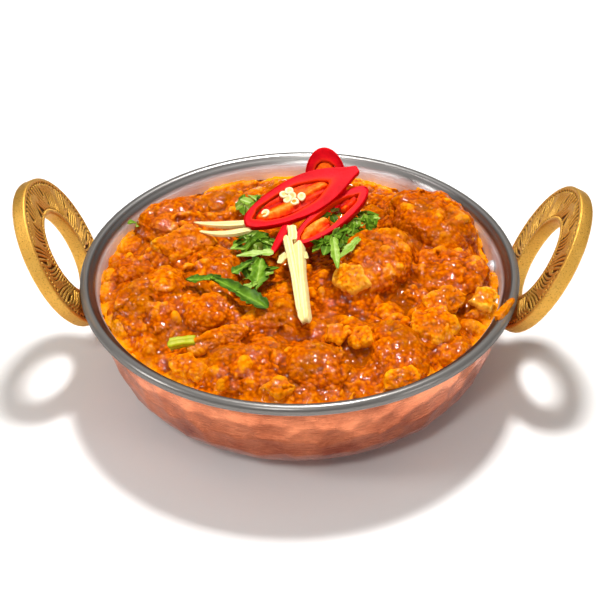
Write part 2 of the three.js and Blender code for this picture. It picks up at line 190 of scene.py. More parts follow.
def set_values(made, name, values):
    """One number for each vertex, which a material reads with an Attribute node."""
    attribute = made.data.attributes.new(name, "FLOAT", "POINT")
    attribute.data.foreach_set("value", np.asarray(values, np.float32))


def baked(made, modifier, smooth=True):
    """Make the result of a modifier the object's own plain mesh."""
    bpy.context.view_layer.update()
    graph = bpy.context.evaluated_depsgraph_get()
    result = bpy.data.meshes.new_from_object(made.evaluated_get(graph))
    made.modifiers.remove(modifier)
    made.data = result
    if smooth:
        made.data.shade_smooth()
    return made


def nodes_with(*starts):
    """The frame's nodes whose names start so, in order."""
    return sorted(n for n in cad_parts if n.startswith(starts))


def settle(made, slot, *nodes, material=None):
    """Hand a finished piece to the frame: it rides on the pan and stands for these nodes."""
    if material:
        made.data.materials.append(material)
    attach(made, "root")
    if nodes:
        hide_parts(*nodes)
    made.data.calc_loop_triangles()
    print(f"{made.name}: {len(made.data.loop_triangles)} triangles")
    return made


def nearest_tree(points):
    """A search tree that tells how far the nearest of some points is."""
    tree = KDTree(len(points))
    for k, point in enumerate(points):
        tree.insert(point, k)
    tree.balance()
    return tree


# %% [markdown]
# ## Helpers for the frame's pieces
#
# A stick, a slice or a leaf of the frame has a clear long, middle and thin direction. The spread of its
# points gives those three, so a detailed piece can be made flat on the table and then laid exactly
# where the frame's piece is.

# %% Directions and half sizes of a node
def lie_of(node, along=(1, 0, 0), up=(0, 0, 1)):
    """Middle, three directions and half sizes of a node; its long side is turned towards `along`."""
    points = points_of(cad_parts[node])
    points = np.unique(points.round(3), axis=0)
    middle = (points.max(0) + points.min(0)) / 2
    directions = np.linalg.svd(points - points.mean(0), full_matrices=False)[2]
    long, _, thin = directions
    long = long * (1 if long @ np.array(along) >= 0 else -1)
    thin = thin * (1 if thin @ np.array(up) >= 0 else -1)
    axes = np.stack([long, np.cross(thin, long), thin])
    spread = (points - middle) @ axes.T
    middle = middle + ((spread.max(0) + spread.min(0)) / 2) @ axes
    half = (spread.max(0) - spread.min(0)) / 2
    return middle, axes, half


def laid(points, middle, axes):
    """Points made flat about the origin, moved to where a node lies."""
    return np.asarray(points) @ axes + middle


print("top chilli slice, half sizes in mm:", lie_of("chilli_slice_top")[2].round(1))


# %% [markdown]
# ## Camera, floor and light
#
# The dish is seen from above the near edge, as by a person about to eat, with a long lens that keeps the
# rim a calm ellipse. The stage is a plain white floor in soft studio light: a dim sky, a small lamp
# overhead that gives the wet sauce its fine sparkles, a weaker one in front that lights the inside of the
# steel wall, and two at the sides for the copper and brass.

# %% Camera
CAMERA_PLACE = Vector((21.2, -404.5, 334.2)) * MM
CAMERA_TARGET = Vector((-0.53, 10.06, 21.0)) * MM
CAMERA_ROLL = math.radians(-1.185)
LENS_MM = 87.5


def add_camera():
    camera = bpy.data.objects.new("camera", bpy.data.cameras.new("camera"))
    camera.data.lens = LENS_MM
    camera.data.sensor_width = 36
    camera.data.clip_start = 0.01
    aim = (CAMERA_TARGET - CAMERA_PLACE).to_track_quat("-Z", "Y").to_matrix().to_4x4()
    camera.matrix_world = Matrix.Translation(CAMERA_PLACE) @ aim @ Matrix.Rotation(CAMERA_ROLL, 4, "Z")
    scene.collection.objects.link(camera)
    scene.camera = camera
    return camera


camera = add_camera()
print("camera distance in mm:", round((CAMERA_TARGET - CAMERA_PLACE).length / MM))


# %% Colours and nodes
def colour(code):
    """An sRGB hex colour as the linear red, green, blue and alpha that Blender mixes with."""
    parts = [int(code[i:i + 2], 16) / 255 for i in (1, 3, 5)]
    return [c / 12.92 if c <= 0.04045 else ((c + 0.055) / 1.055) ** 2.4 for c in parts] + [1]


def feed(tree, node, **inputs):
    """Give a node values or sockets for inputs, by their names or, as no_1, by their numbers."""
    for key, value in inputs.items():
        name = key.replace("_", " ")
        socket = node.inputs[int(name[2:])] if name.startswith("no ") else node.inputs[name]
        if isinstance(value, bpy.types.NodeSocket):
            tree.links.new(value, socket)
        else:
            socket.default_value = value
    return node


def put(tree, kind, settings=None, **inputs):
    """Add one node: settings are its options, inputs are values or sockets for its inputs."""
    node = tree.nodes.new(kind)
    for key, value in (settings or {}).items():
        setattr(node, key, value)
    return feed(tree, node, **inputs)


def new_material(name):
    """An empty material with its Principled shader joined to the output."""
    material = bpy.data.materials.new(name)
    material.use_nodes = True
    tree = material.node_tree
    tree.nodes.clear()
    output, shader = put(tree, "ShaderNodeOutputMaterial"), put(tree, "ShaderNodeBsdfPrincipled")
    feed(tree, output, Surface=shader.outputs[0])
    return material, tree, shader


# %% Short names for the usual nodes
def maths(tree, operation, a, b=0.0, c=0.0):
    return put(tree, "ShaderNodeMath", {"operation": operation}, no_0=a, no_1=b, no_2=c).outputs[0]


def remap(tree, value, low=0.0, high=1.0, to_low=0.0, to_high=1.0):
    """The value's place between low and high, moved to the second range and kept inside it."""
    return put(tree, "ShaderNodeMapRange", no_0=value, From_Min=low, From_Max=high, To_Min=to_low,
               To_Max=to_high).outputs[0]


def noise(tree, place, scale, detail=2.0, roughness=0.5):
    return put(tree, "ShaderNodeTexNoise", Vector=place, Scale=scale, Detail=detail,
               Roughness=roughness).outputs["Fac"]


def stored(tree, name):
    """A number that set_values put on the points."""
    return put(tree, "ShaderNodeAttribute", {"attribute_name": name}).outputs["Fac"]


def linear(value):
    """The linear colour of a hex code; a socket or a linear colour stays as it is."""
    return colour(value) if isinstance(value, str) else value


def blend(tree, share, first, second):
    """Two colours mixed by a share; each is a hex code or a socket."""
    return put(tree, "ShaderNodeMix", {"data_type": "RGBA"}, Factor=share, no_6=linear(first),
               no_7=linear(second)).outputs[2]


def colour_ramp(tree, level, *stops):
    """The colour at a level; the stops are places from 0 to 1 with their colours, in rising order."""
    ramp = put(tree, "ShaderNodeValToRGB", Fac=level)
    elements = ramp.color_ramp.elements
    elements.remove(elements[1])
    elements[0].position, elements[0].color = stops[0][0], linear(stops[0][1])
    for place, tone in stops[1:]:
        elements.new(place).color = linear(tone)
    return ramp.outputs[0]


def bump(tree, height, strength, distance):
    return put(tree, "ShaderNodeBump", Strength=strength, Distance=distance, Height=height).outputs[0]


# %% Floor, sky and lamps
FLOOR_SIZE = 3.0                 # metres from the middle to a side
SKY_STRENGTH = 0.36
SKY_TONES = (                    # height of a direction, and the sky's linear colour there
    (0.0, (0.34, 0.3366, 0.3315, 1)),
    (0.25, (0.2, 0.198, 0.195, 1)),
    (1.0, (1, 1, 1, 1)),
)
LAMPS = {                        # place and size in metres, and watts; all look at the food
    "overhead": ((0.05, 0.15, 0.77), 0.11, 6.5),
    "front": ((-0.1, -0.52, 0.6), 0.09, 1.3),
    "left": ((-0.75, -0.25, 0.45), 0.2, 2.2),
    "right": ((0.7, -0.45, 0.32), 0.25, 1.0),
}
LAMP_TARGET = Vector((0, 0, 0.03))


def add_stage():
    corners = FLOOR_SIZE / MM * np.array([(-1, -1, 0), (1, -1, 0), (1, 1, 0), (-1, 1, 0)])
    floor = mesh_object("floor", corners, [[0, 1, 2, 3]], smooth=False)
    material, tree, shader = new_material("matt_white_paper")
    feed(tree, shader, Base_Color=colour("#f6f5f3"), Roughness=0.9)
    floor.data.materials.append(material)
    floor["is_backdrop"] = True
    world = bpy.data.worlds.new("studio")
    world.use_nodes = True
    tree = world.node_tree
    direction = put(tree, "ShaderNodeTexCoord").outputs["Generated"]
    height = put(tree, "ShaderNodeSeparateXYZ", Vector=direction).outputs["Z"]
    feed(tree, tree.nodes["Background"], Color=colour_ramp(tree, height, *SKY_TONES), Strength=SKY_STRENGTH)
    scene.world = world


def add_lamp(name, place, size, watts):
    """A square soft box."""
    lamp = bpy.data.objects.new(name, bpy.data.lights.new(name, "AREA"))
    lamp.data.size = size
    lamp.data.energy = watts
    aim = (LAMP_TARGET - Vector(place)).to_track_quat("-Z", "Y").to_matrix().to_4x4()
    lamp.matrix_world = Matrix.Translation(Vector(place)) @ aim
    scene.collection.objects.link(lamp)


add_stage()
for name, settings in LAMPS.items():
    add_lamp(name, *settings)
scene.view_settings.view_transform = "Standard"


# %% [markdown]
# ## The pan's wall
#
# The pan is pressed from sheet and stands on a flat foot. Its wall leaves the foot at a low angle, turns
# up in one smooth curve and leans out a little at the top. One Bezier curve from the foot to the rim
# describes that. Its radius at the top and that of the rim are read from the frame; each layer of metal is
# the same curve moved inwards along its own normal, as real sheet is.

# %% Wall curve
BEAD_RADIUS = 1.85
RIM_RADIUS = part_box("steel_liner")[1][0] / MM - BEAD_RADIUS      # to the middle of the bead
RIM_HEIGHT = 42.0
WALL_TOP = 39.7
FOOT_SLOPE, WALL_LEAN = 0.42, 0.17                               # radians from level, and from upright
FOOT_PULL, LEAN_PULL = 24.7, 29.2                                # how far the wall keeps each direction
FOOT_RADIUS = 43.4
COPPER_THICKNESS = 1.0
LINER_OUTSIDE, LINER_INSIDE = 1.3, 2.2                           # depths in from the copper's outside

FOOT = np.array([FOOT_RADIUS, 0])
TOP = np.array([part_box("copper_shell")[1][0] / MM, WALL_TOP])
CURVE = np.array([
    FOOT,
    FOOT + FOOT_PULL * np.array([math.cos(FOOT_SLOPE), math.sin(FOOT_SLOPE)]),
    TOP - LEAN_PULL * np.array([math.sin(WALL_LEAN), math.cos(WALL_LEAN)]),
    TOP,
])


def wall(depth, steps):
    """Radius and height of points up the wall, a depth in from the copper's outside."""
    t = np.linspace(0, 1, steps + 1)[:, None]
    a, b, c, d = CURVE
    point = (1 - t) ** 3 * a + 3 * (1 - t) ** 2 * t * b + 3 * (1 - t) * t ** 2 * c + t ** 3 * d
    along = (1 - t) ** 2 * (b - a) + 2 * (1 - t) * t * (c - b) + t ** 2 * (d - c)
    along = along / np.linalg.norm(along, axis=1, keepdims=True)
    return point + depth * np.stack([-along[:, 1], along[:, 0]], 1)


def wall_radius(height, depth):
    """Radius of the wall at some heights, a depth in from the copper's outside."""
    line = wall(depth, 200)
    return np.interp(height, line[:, 1], line[:, 0])


print("wall radius at half height:", wall_radius(20, 0).round(1), "mm")


# %% Turning a profile
def turned(name, profile, sides):
    """A closed solid from a profile that starts and ends on the axis."""
    profile = np.asarray(profile, float)
    ring = profile[1:-1]
    turn = all_round(sides)
    radius, height = ring[:, :1], ring[:, 1:]
    points = np.stack([radius * np.cos(turn), radius * np.sin(turn), height + 0 * turn], -1)
    rows = len(ring)
    faces = grid_faces(rows, sides, closed_columns=True).tolist()
    ends = np.array([[0, 0, profile[0, 1]], [0, 0, profile[-1, 1]]])
    first, last = rows * sides, rows * sides + 1
    for k in range(sides):
        beside = (k + 1) % sides
        faces.append([first, k, beside])
        faces.append([last, (rows - 1) * sides + beside, (rows - 1) * sides + k])
    made = mesh_object(name, np.concatenate([points.reshape(-1, 3), ends]), faces)
    return outward(made)


# %% [markdown]
# ## Steel liner
#
# The liner is deep drawn stainless steel. Its inside keeps the fine rings of a rotary brush, and its edge
# is rolled into a polished bead over the copper. The piece is turned from one profile: outside wall,
# bead, a short flare and inside wall. The brush rings are in the material: noise that only changes with
# height and radius draws lines right round the pan.

# %% Brushed and polished steel
def round_the_pan(tree, place):
    """Height, radius and turn of a place about the pan's axis."""
    parts = put(tree, "ShaderNodeSeparateXYZ", Vector=place).outputs
    flat = put(tree, "ShaderNodeCombineXYZ", X=parts["X"], Y=parts["Y"]).outputs[0]
    radius = put(tree, "ShaderNodeVectorMath", {"operation": "LENGTH"}, no_0=flat).outputs["Value"]
    return parts["Z"], radius, maths(tree, "ARCTAN2", parts["Y"], parts["X"])


def brushed_steel():
    """Clean brushed wall inside, a polished bead painted a darker grey than the wall as painted shade, and a
    duller curl where the bead turns outwards, painted darker still as painted shade.
    """
    material, tree, shader = new_material("stainless_steel_brushed_polished_rim")
    place = put(tree, "ShaderNodeTexCoord").outputs["Object"]
    height, radius, turn = round_the_pan(tree, place)
    lines = put(tree, "ShaderNodeCombineXYZ", X=height, Y=radius, Z=maths(tree, "MULTIPLY", turn, 0.004))
    rings = noise(tree, lines.outputs[0], 2600.0, 4.0, 0.7)
    inside = remap(tree, height, 0.0416, 0.0404)
    # curl covers the outer part of the bead, whose grey is darkened there as painted shade
    curl = remap(tree, radius, (RIM_RADIUS - 0.7) * MM, (RIM_RADIUS - 0.2) * MM)
    wall_tint = blend(tree, noise(tree, place, 45.0, 3.0), "#eeeef0", "#d4d2d4")
    # painted shade: the bead's grey is darker than the wall's, and its curl darker again
    bead_tint_painted_shade = blend(tree, curl, "#b2aeaa", "#827e7a")
    dull = maths(tree, "MAXIMUM", inside, curl)
    feed(tree, shader, Base_Color=blend(tree, inside, bead_tint_painted_shade, wall_tint),
         Roughness=remap(tree, inside, to_low=0.3, to_high=0.45),
         Metallic=remap(tree, dull, to_low=1.0, to_high=0.6),
         Normal=bump(tree, rings, remap(tree, inside, to_low=0.1, to_high=0.9), 0.0003),
         Specular_Tint=colour("#4a4642"))
    return material


steel = brushed_steel()


# %% Turn the liner
FLARE_BULGE = np.array([-0.1, 0.28])     # of the short flare between the wall and the bead


def liner_profile():
    bead_turn = np.radians(np.linspace(-135, 150, 30))
    bead = np.stack([
        RIM_RADIUS + BEAD_RADIUS * np.cos(bead_turn),
        RIM_HEIGHT + BEAD_RADIUS * np.sin(bead_turn),
    ], 1)
    inside, outside = wall(LINER_INSIDE, 40), wall(LINER_OUTSIDE, 16)
    flare = []
    for share in (0.2, 0.4, 0.6, 0.8):
        bulge = math.sin(math.pi * share) * FLARE_BULGE
        flare.append(bead[-1] * (1 - share) + inside[-1] * share + bulge)
    ledge = outside[-1] + [0, 0.4]
    path = np.concatenate([outside, [ledge], bead, flare, inside[::-1]])
    return np.concatenate([[[0, path[0, 1]]], path, [[0, path[-1, 1]]]])


liner = turned("steel_liner_turned", liner_profile(), 240)
settle(liner, "steel", "steel_liner", material=steel)


# %% [markdown]
# ## Hammered copper shell
#
# The copper is planished: a smith closes it over the liner with overlapping hammer blows, row above row.
# Each blow leaves a shallow dimple about 9 mm wide, and where two dimples meet stays a soft ridge that
# catches the light. The dimples are real shape here. Blow centres lie in staggered rows, and every point
# of the wall sinks by its distance to the nearest one. The smooth band under the rim gets none.

# %% Hammered shape
BLOW_SPACING = 9.0
BLOW_DEPTH = 0.5
PLAIN_BAND = 2.5


def blow_centres():
    """Middles of the hammer marks, in rows up the wall."""
    dice = np.random.default_rng(11)
    line = wall(0, 400)
    length = np.concatenate([[0], np.cumsum(np.linalg.norm(np.diff(line, axis=0), axis=1))])
    centres = []
    for row, far in enumerate(np.arange(1.0, length[-1] + BLOW_SPACING, BLOW_SPACING * 0.86)):
        radius, height = (np.interp(far, length, line[:, k]) for k in (0, 1))
        count = int(FULL_TURN * radius / BLOW_SPACING)
        for k in range(count):
            turn = FULL_TURN * (k + 0.5 * (row % 2)) / count + dice.normal(0, 0.2) / radius * 8
            centres.append([radius * math.cos(turn), radius * math.sin(turn), height + dice.normal(0, 1.1)])
    return centres


def hammered_shell():
    outside, inside = wall(0, 84), wall(COPPER_THICKNESS, 6)[::-1]
    path = np.concatenate([outside, inside])
    shell = turned("copper_shell_hammered", np.concatenate([[[0, 0]], path, [[0, inside[-1][1]]]]), 420)
    centres = blow_centres()
    tree = nearest_tree(centres)
    points = points_of(shell)
    radius = np.hypot(points[:, 0], points[:, 1])
    skin = radius > wall_radius(points[:, 2], 0) - 0.05
    skin &= (points[:, 2] > 0.02) & (radius > 1)
    far = np.array([tree.find(p)[2] for p in points[skin]])
    dent = BLOW_DEPTH * np.clip(1 - (far / (0.62 * BLOW_SPACING)) ** 2, -0.3, 1)
    height = points[skin, 2]
    fade = np.clip((WALL_TOP - PLAIN_BAND * 0.4 - height) / PLAIN_BAND, 0, 1) * np.clip(height / 2, 0, 1)
    sink = np.clip(dent + 0.06, 0, None) * fade
    points[skin, :2] *= ((radius[skin] - sink) / radius[skin])[:, None]
    shell.data.vertices.foreach_set("co", (points * MM).ravel())
    print("hammer marks:", len(centres))
    return shell


def hammered_copper():
    """Copper with fine scratches from scouring, painted darker low down as a painted dark reflection."""
    material, tree, shader = new_material("copper_hammered_brushed")
    place = put(tree, "ShaderNodeTexCoord").outputs["Object"]
    height, _, turn = round_the_pan(tree, place)
    grain_place = put(tree, "ShaderNodeCombineXYZ", X=maths(tree, "MULTIPLY", turn, 0.012), Y=height)
    grain = noise(tree, grain_place.outputs[0], 1500.0, 5.0, 0.75)
    cloud = noise(tree, place, 70.0, 4.0, 0.6)
    level = maths(tree, "MULTIPLY_ADD", grain, 0.55, cloud)
    # painted dark reflection: the colour level falls towards the foot of the shell
    level = maths(tree, "ADD", level, remap(tree, height, high=0.038, to_low=-0.35, to_high=0.1))
    feed(tree, shader, Base_Color=colour_ramp(tree, level, (0.4, "#842810"), (0.95, "#f4966a")),
         Roughness=remap(tree, grain, to_low=0.16, to_high=0.36),
         Normal=bump(tree, grain, 0.3, 0.0002), Metallic=1.0)
    return material


shell = hammered_shell()
settle(shell, "copper", "copper_shell", material=hammered_copper())


# %% [markdown]
# ## Cast brass handles
#
# Each handle is a leaning oval ring of sand-cast brass. Its edges are tumbled smooth and satin, while the
# face that looks in over the food carries a common leaf-and-scroll engraving between two raised rails.
# The ring is one grid: round the ring one way and round its section the other. The engraving is true
# relief: strokes are drawn in flat band coordinates, and the face sinks wherever no stroke is near.

# %% Sizes of the ring
RING_THICKNESS = 5.4
RING = (15.0, 27.45, 24.0)       # middle, half length and half width of the outline
HOLE = (14.5, 15.0, 11.6)
HANDLES = {                      # lean from level in degrees, height of the root, and which way round
    "right": (62.5, 34.5, 1),
    "left": (66.0, 35.0, -1),
}
EDGE_ROUND = 0.7
BACK_ROUND = 1.8
RAIL = 0.45                      # width of the plain rails beside the engraving
FIELD_DEPTH = 0.5
STROKE = 0.47                    # half width of an engraved stroke


def ring_axes(lean):
    """Directions along the ring, across it and out of its engraved face."""
    lean = math.radians(lean)
    return np.array([
        [math.cos(lean), 0, math.sin(lean)],
        [0, 1, 0],
        [-math.sin(lean), 0, math.cos(lean)],
    ])


def ring_edge(turn, sizes):
    middle, along, across = sizes
    return np.stack([middle + along * np.cos(turn), across * np.sin(turn)], -1)


def band_length(turn):
    """Distance along the middle of the band, from the tip of the ring all the way round."""
    middle = (ring_edge(turn, RING) + ring_edge(turn, HOLE)) / 2
    steps = np.linalg.norm(np.diff(middle, axis=0), axis=1)
    return np.concatenate([[0], np.cumsum(steps)])


print("band is about", round(float(RING[2] - HOLE[2]), 1), "mm wide")


# %% Strokes of the leaf and scroll pattern
BAND_WIDTH = 10.2                # of the flat drawing; it is stretched to the real band
BAND_END = 58                    # along the band from the tip to the root
LEAF_LENGTH = 7.5
VEIN_SPACING = 1.5


def spiral(middle, size, turns, start, hand=1):
    t = np.linspace(0, 1, int(40 * turns * size))
    angle = start + hand * FULL_TURN * turns * t
    radius = size * (1 - 0.86 * t)
    return np.stack([middle[0] + radius * np.cos(angle), middle[1] + radius * np.sin(angle)], 1)


def swept(start, end, bow):
    """A stroke from start to end that bows sideways."""
    start, end = np.array(start, float), np.array(end, float)
    t = np.linspace(0, 1, int(6 * np.linalg.norm(end - start)) + 2)[:, None]
    side = np.array([start[1] - end[1], end[0] - start[0]])
    return start + (end - start) * t + side * bow * np.sin(math.pi * t)


def leaf_and_scroll():
    """Strokes for one half of the ring: distance from the tip, and place across the band, in mm."""
    strokes = [spiral((1.6, 0.6), 1.5, 1.3, math.pi, -1), swept((0, 4.0), (0, -4.0), 0)]
    for far in np.arange(0.0, BAND_END, 1.6):
        strokes += [np.array([[far, 4.5]]), np.array([[far + 0.8, -4.5]])]
    for k, start in enumerate(np.arange(0.6, BAND_END, LEAF_LENGTH)):
        for far in np.arange(start, start + 7.4, VEIN_SPACING):
            strokes.append(swept((far + 3.4, -3.6), (far - 0.6, 3.6), -0.16 if k % 2 else 0.1))
        strokes += [spiral((start + 7.6, 2.2 if k % 2 else -1.8), 1.5, 1.2, 0.7 * k),
                    swept((start - 0.9, 3.4), (start + 1.2, -1.0), 0.1)]
    return np.concatenate(strokes)


strokes = leaf_and_scroll()
stroke_tree = nearest_tree([(far, side, 0) for far, side in strokes])
print("engraved length:", len(strokes), "stroke points")


# %% Shape of the ring
def rounded_side(front, back, steps=6):
    """Inset and depth down a side whose two corners are rounded, from the face to the back."""
    turn = np.linspace(0, math.pi / 2, steps)
    top = [(front * (1 - math.sin(b)), front * (1 - math.cos(b))) for b in turn[1:]]
    base = [(back * (1 - math.cos(b)), RING_THICKNESS - back * (1 - math.sin(b))) for b in turn]
    return np.array(top + base)


def relief_of(from_tip, across, usable):
    """How far the face is sunk at a place on the band, from 0 on a stroke or rail to 1 on the ground."""
    edge = usable / 2 - abs(across)
    if edge < RAIL:
        return 0.0
    near = stroke_tree.find((from_tip, across * BAND_WIDTH / usable, 0))[2]
    raised = math.exp(-(near / STROKE) ** 4)
    return min(1.0, (edge - RAIL) / 0.3) * (1 - 0.92 * raised)


def engraved_ring(name, lean, root, way):
    turns = all_round(720)
    outer, inner = ring_edge(turns, RING), ring_edge(turns, HOLE)
    width = np.linalg.norm(outer - inner, axis=1)
    length = band_length(turns)
    from_tip = np.minimum(length, length[-1] - length)
    face = np.linspace(0, 1, 58)
    side = rounded_side(EDGE_ROUND, BACK_ROUND)
    points, low = [], []
    for o, n, w, tip in zip(outer, inner, width, from_tip):
        direction = (o - n) / w
        usable = w - 2 * EDGE_ROUND
        sunk = [relief_of(tip, (share - 0.5) * usable, usable) for share in face]
        line = [(*(n + direction * (EDGE_ROUND + share * usable)), -FIELD_DEPTH * deep)
                for share, deep in zip(face, sunk)]
        line += [(*(o - direction * inset), -depth) for inset, depth in side]
        line += [(*(n + direction * inset), -depth) for inset, depth in side[::-1]]
        low += sunk + [0] * (2 * len(side))
        points.append(line)
    points = np.array(points)
    rows, columns = points.shape[:2]
    world = points.reshape(-1, 3) @ ring_axes(lean) + [RIM_RADIUS, 0, root]
    return outward(mesh_object(name, world * [way, way, 1], grid_faces(rows, columns, True, True), low=low))


def cut_by_bowl(made):
    """Take away what would lie inside the copper or the rim."""
    gap = 0.3
    edge, top = RIM_RADIUS + BEAD_RADIUS + gap, RIM_HEIGHT + 2.2
    path = np.concatenate([[[FOOT_RADIUS, -1]], wall(-gap, 30), [[edge, RIM_HEIGHT - 1.8], [edge, top]]])
    cutter = turned("cutter", np.concatenate([[[0, -1]], path, [[0, top]]]), 144)
    cut = made.modifiers.new("cut", "BOOLEAN")
    cut.operation, cut.solver, cut.object = "DIFFERENCE", "EXACT", cutter
    baked(made, cut)
    bpy.data.objects.remove(cutter)
    return made


# %% [markdown]
# The engraving holds a dark patina where no cloth reaches, and its high lines are rubbed bright. The
# relief is stored on the points as the value `low`, and the material mixes its colours by it. The smooth
# sides keep the faint speckle of the casting sand.

# %% Satin brass
def cast_brass():
    material, tree, shader = new_material("brass_sand_cast_satin")
    place = put(tree, "ShaderNodeTexCoord").outputs["Object"]
    speckle = noise(tree, place, 1900.0, 3.0, 0.7)
    clean = blend(tree, noise(tree, place, 120.0, 3.0), "#dca03a", "#f2c264")
    sandy = blend(tree, remap(tree, speckle, 0.54, 0.72), clean, "#a8732a")
    aged = blend(tree, remap(tree, stored(tree, "low"), 0.35, 0.95), sandy, "#5e3a12")
    feed(tree, shader, Base_Color=aged, Roughness=remap(tree, speckle, to_low=0.42, to_high=0.6),
         Normal=bump(tree, speckle, 0.6, 0.0004), Metallic=1.0)
    return material


brass = cast_brass()
for side, place in HANDLES.items():
    handle = cut_by_bowl(engraved_ring(f"handle_{side}_engraved", *place))
    handle.data.materials.clear()
    settle(handle, "brass", f"handle_{side}", material=brass)


# %% [markdown]
# ## Rivet heads
#
# Two domed steel rivets hold each handle and show inside the liner. A dome is a quarter circle turned on
# its own axis. The frame's rivet gives the middle and the direction, so the dome is laid on it.

# %% Domed rivets
def domed_rivet(node):
    middle, axes, half = lie_of(node)
    inward = axes[2] * (-1 if axes[2] @ middle > 0 else 1)
    across = np.cross(inward, [0, 0, 1])
    across /= np.linalg.norm(across)
    axes = np.stack([across, np.cross(inward, across), inward])
    bend = np.linspace(0, math.pi / 2, 9)
    dome = np.stack([half[0] * np.cos(bend), -half[2] + 2 * half[2] * np.sin(bend)], 1)
    made = turned(node + "_domed", np.concatenate([[[0, -half[2]]], dome]), 40)
    points = points_of(made) @ axes + middle
    made.data.vertices.foreach_set("co", (points * MM).ravel())
    return settle(outward(made), "steel", node, material=steel)


for node in nodes_with("rivet_"):
    domed_rivet(node)


# %% [markdown]
# ## The filling: one skin for many pieces
#
# A masala is onion, tomato and spice cooked down until it is a thick, grainy, oily paste, and it coats
# all that lies in it. So sauce, lamb and onion get the same skin: soft lumps of a few millimetres with
# grains of about one millimetre on them. The skin is a Geometry Nodes tree, because it follows any
# surface: it pushes each point out along its normal, first by smooth noise and then by a smooth Voronoi
# pattern whose cells are the grains.

# %% Grainy skin in Geometry Nodes
def geometry_tree(name, numbers, **others):
    """A Geometry Nodes tree; numbers have usual values, and of other inputs the kind is told."""
    tree = bpy.data.node_groups.new(name, "GeometryNodeTree")
    tree.interface.new_socket(name="Geometry", in_out="OUTPUT", socket_type="NodeSocketGeometry")
    for title, kind in {"Geometry": "Geometry", "Material": "Material", **others}.items():
        tree.interface.new_socket(name=title, in_out="INPUT", socket_type="NodeSocket" + kind)
    for title, value in numbers.items():
        socket = tree.interface.new_socket(name=title, in_out="INPUT", socket_type="NodeSocketFloat")
        socket.default_value = value
    return tree, put(tree, "NodeGroupInput").outputs


def end_tree(tree, shape, material):
    """Give the shape its material and hand it out of the tree."""
    dressed = put(tree, "GeometryNodeSetMaterial", Geometry=shape, Material=material)
    put(tree, "NodeGroupOutput", no_0=dressed.outputs[0])
    return tree


def skin_tree():
    tree, start = geometry_tree("grainy_skin", {
        "Fold size": 12.0, "Fold height": 2.6, "Lump size": 5.0, "Lump height": 2.5, "Grain size": 1.8,
        "Grain height": 0.55})

    def per_metre(size):
        return maths(tree, "DIVIDE", 1 / MM, size)

    def knobs(vector, size):
        """Rounded knobs with creases between them, from 0 in a crease to about 0.7 on top."""
        cells = put(tree, "ShaderNodeTexVoronoi", {"feature": "F1"}, Vector=vector, Scale=per_metre(size))
        near = maths(tree, "MULTIPLY", cells.outputs["Distance"], cells.outputs["Distance"])
        return maths(tree, "SQRT", maths(tree, "MAXIMUM", maths(tree, "SUBTRACT", 0.5, near), 0.0))

    def height_of(pattern, middle, size):
        return maths(tree, "MULTIPLY", maths(tree, "SUBTRACT", pattern, middle), start[size])

    place = put(tree, "GeometryNodeInputPosition").outputs[0]
    normal = put(tree, "GeometryNodeInputNormal").outputs[0]
    wander = put(tree, "ShaderNodeTexNoise", Vector=place, Scale=130.0, Detail=2.0).outputs["Color"]
    swing = put(tree, "ShaderNodeVectorMath", {"operation": "SCALE"}, no_0=wander, Scale=0.009).outputs[0]
    swung = put(tree, "ShaderNodeVectorMath", {"operation": "ADD"}, no_0=place, no_1=swing).outputs[0]
    crowd = remap(tree, noise(tree, place, 180.0, 1.0), 0.35, 0.6, 0.3, 1.0)
    fold_push = height_of(knobs(swung, start["Fold size"]), 0.45, "Fold height")
    lump_push = height_of(noise(tree, swung, per_metre(start["Lump size"]), 1.5), 0.5, "Lump height")
    grain = maths(tree, "MULTIPLY", knobs(place, start["Grain size"]), crowd)
    push = maths(tree, "ADD", fold_push, lump_push)
    push = maths(tree, "ADD", push, maths(tree, "MULTIPLY", grain, start["Grain height"]))
    offset = put(tree, "ShaderNodeVectorMath", {"operation": "SCALE"}, no_0=normal,
                 Scale=maths(tree, "MULTIPLY", push, MM)).outputs[0]
    moved = put(tree, "GeometryNodeSetPosition", Geometry=start["Geometry"], Offset=offset)
    return end_tree(tree, moved.outputs[0], start["Material"])


skin = skin_tree()


def run_tree(made, tree, smooth=True, **values):
    """Put a tree on an object, set its named inputs and turn the result into a plain mesh."""
    modifier = made.modifiers.new(tree.name, "NODES")
    modifier.node_group = tree
    names = {item.name: item.identifier for item in tree.interface.items_tree if item.in_out == "INPUT"}
    for name, value in values.items():
        modifier[names[name.replace("_", " ")]] = value
    return baked(made, modifier, smooth)


# %% [markdown]
# ## Materials of the filling
#
# Cooked sauce is a suspension in chilli-red oil. Light goes a little way in, so the shader scatters under
# the surface. A thin film of clear oil lies on top in small pools; the coat, whose weight follows a fine
# noise, gives their sharp white sparkles and leaves the rest of the masala matt and deep. The colour
# follows height as painted shade and painted light: deep brick red in the hollows, orange on the slopes
# and a yellower orange on top. The heights are measured on each mesh, and a fine pattern of round beads
# adds the smallest grains, painted darker between the beads and lighter on their tops. Lamb shows browner,
# and onion lighter and yellower.

# %% Hollows and ridges
def averaged(values, edges, rounds):
    """Each value becomes the mean of its own and its neighbours' values, a number of times."""
    count = np.bincount(edges.ravel(), minlength=len(values))
    for _ in range(rounds):
        total = np.bincount(edges[:, 0], values[edges[:, 1]], len(values))
        total += np.bincount(edges[:, 1], values[edges[:, 0]], len(values))
        values = 0.5 * values + 0.5 * total / count
    return values


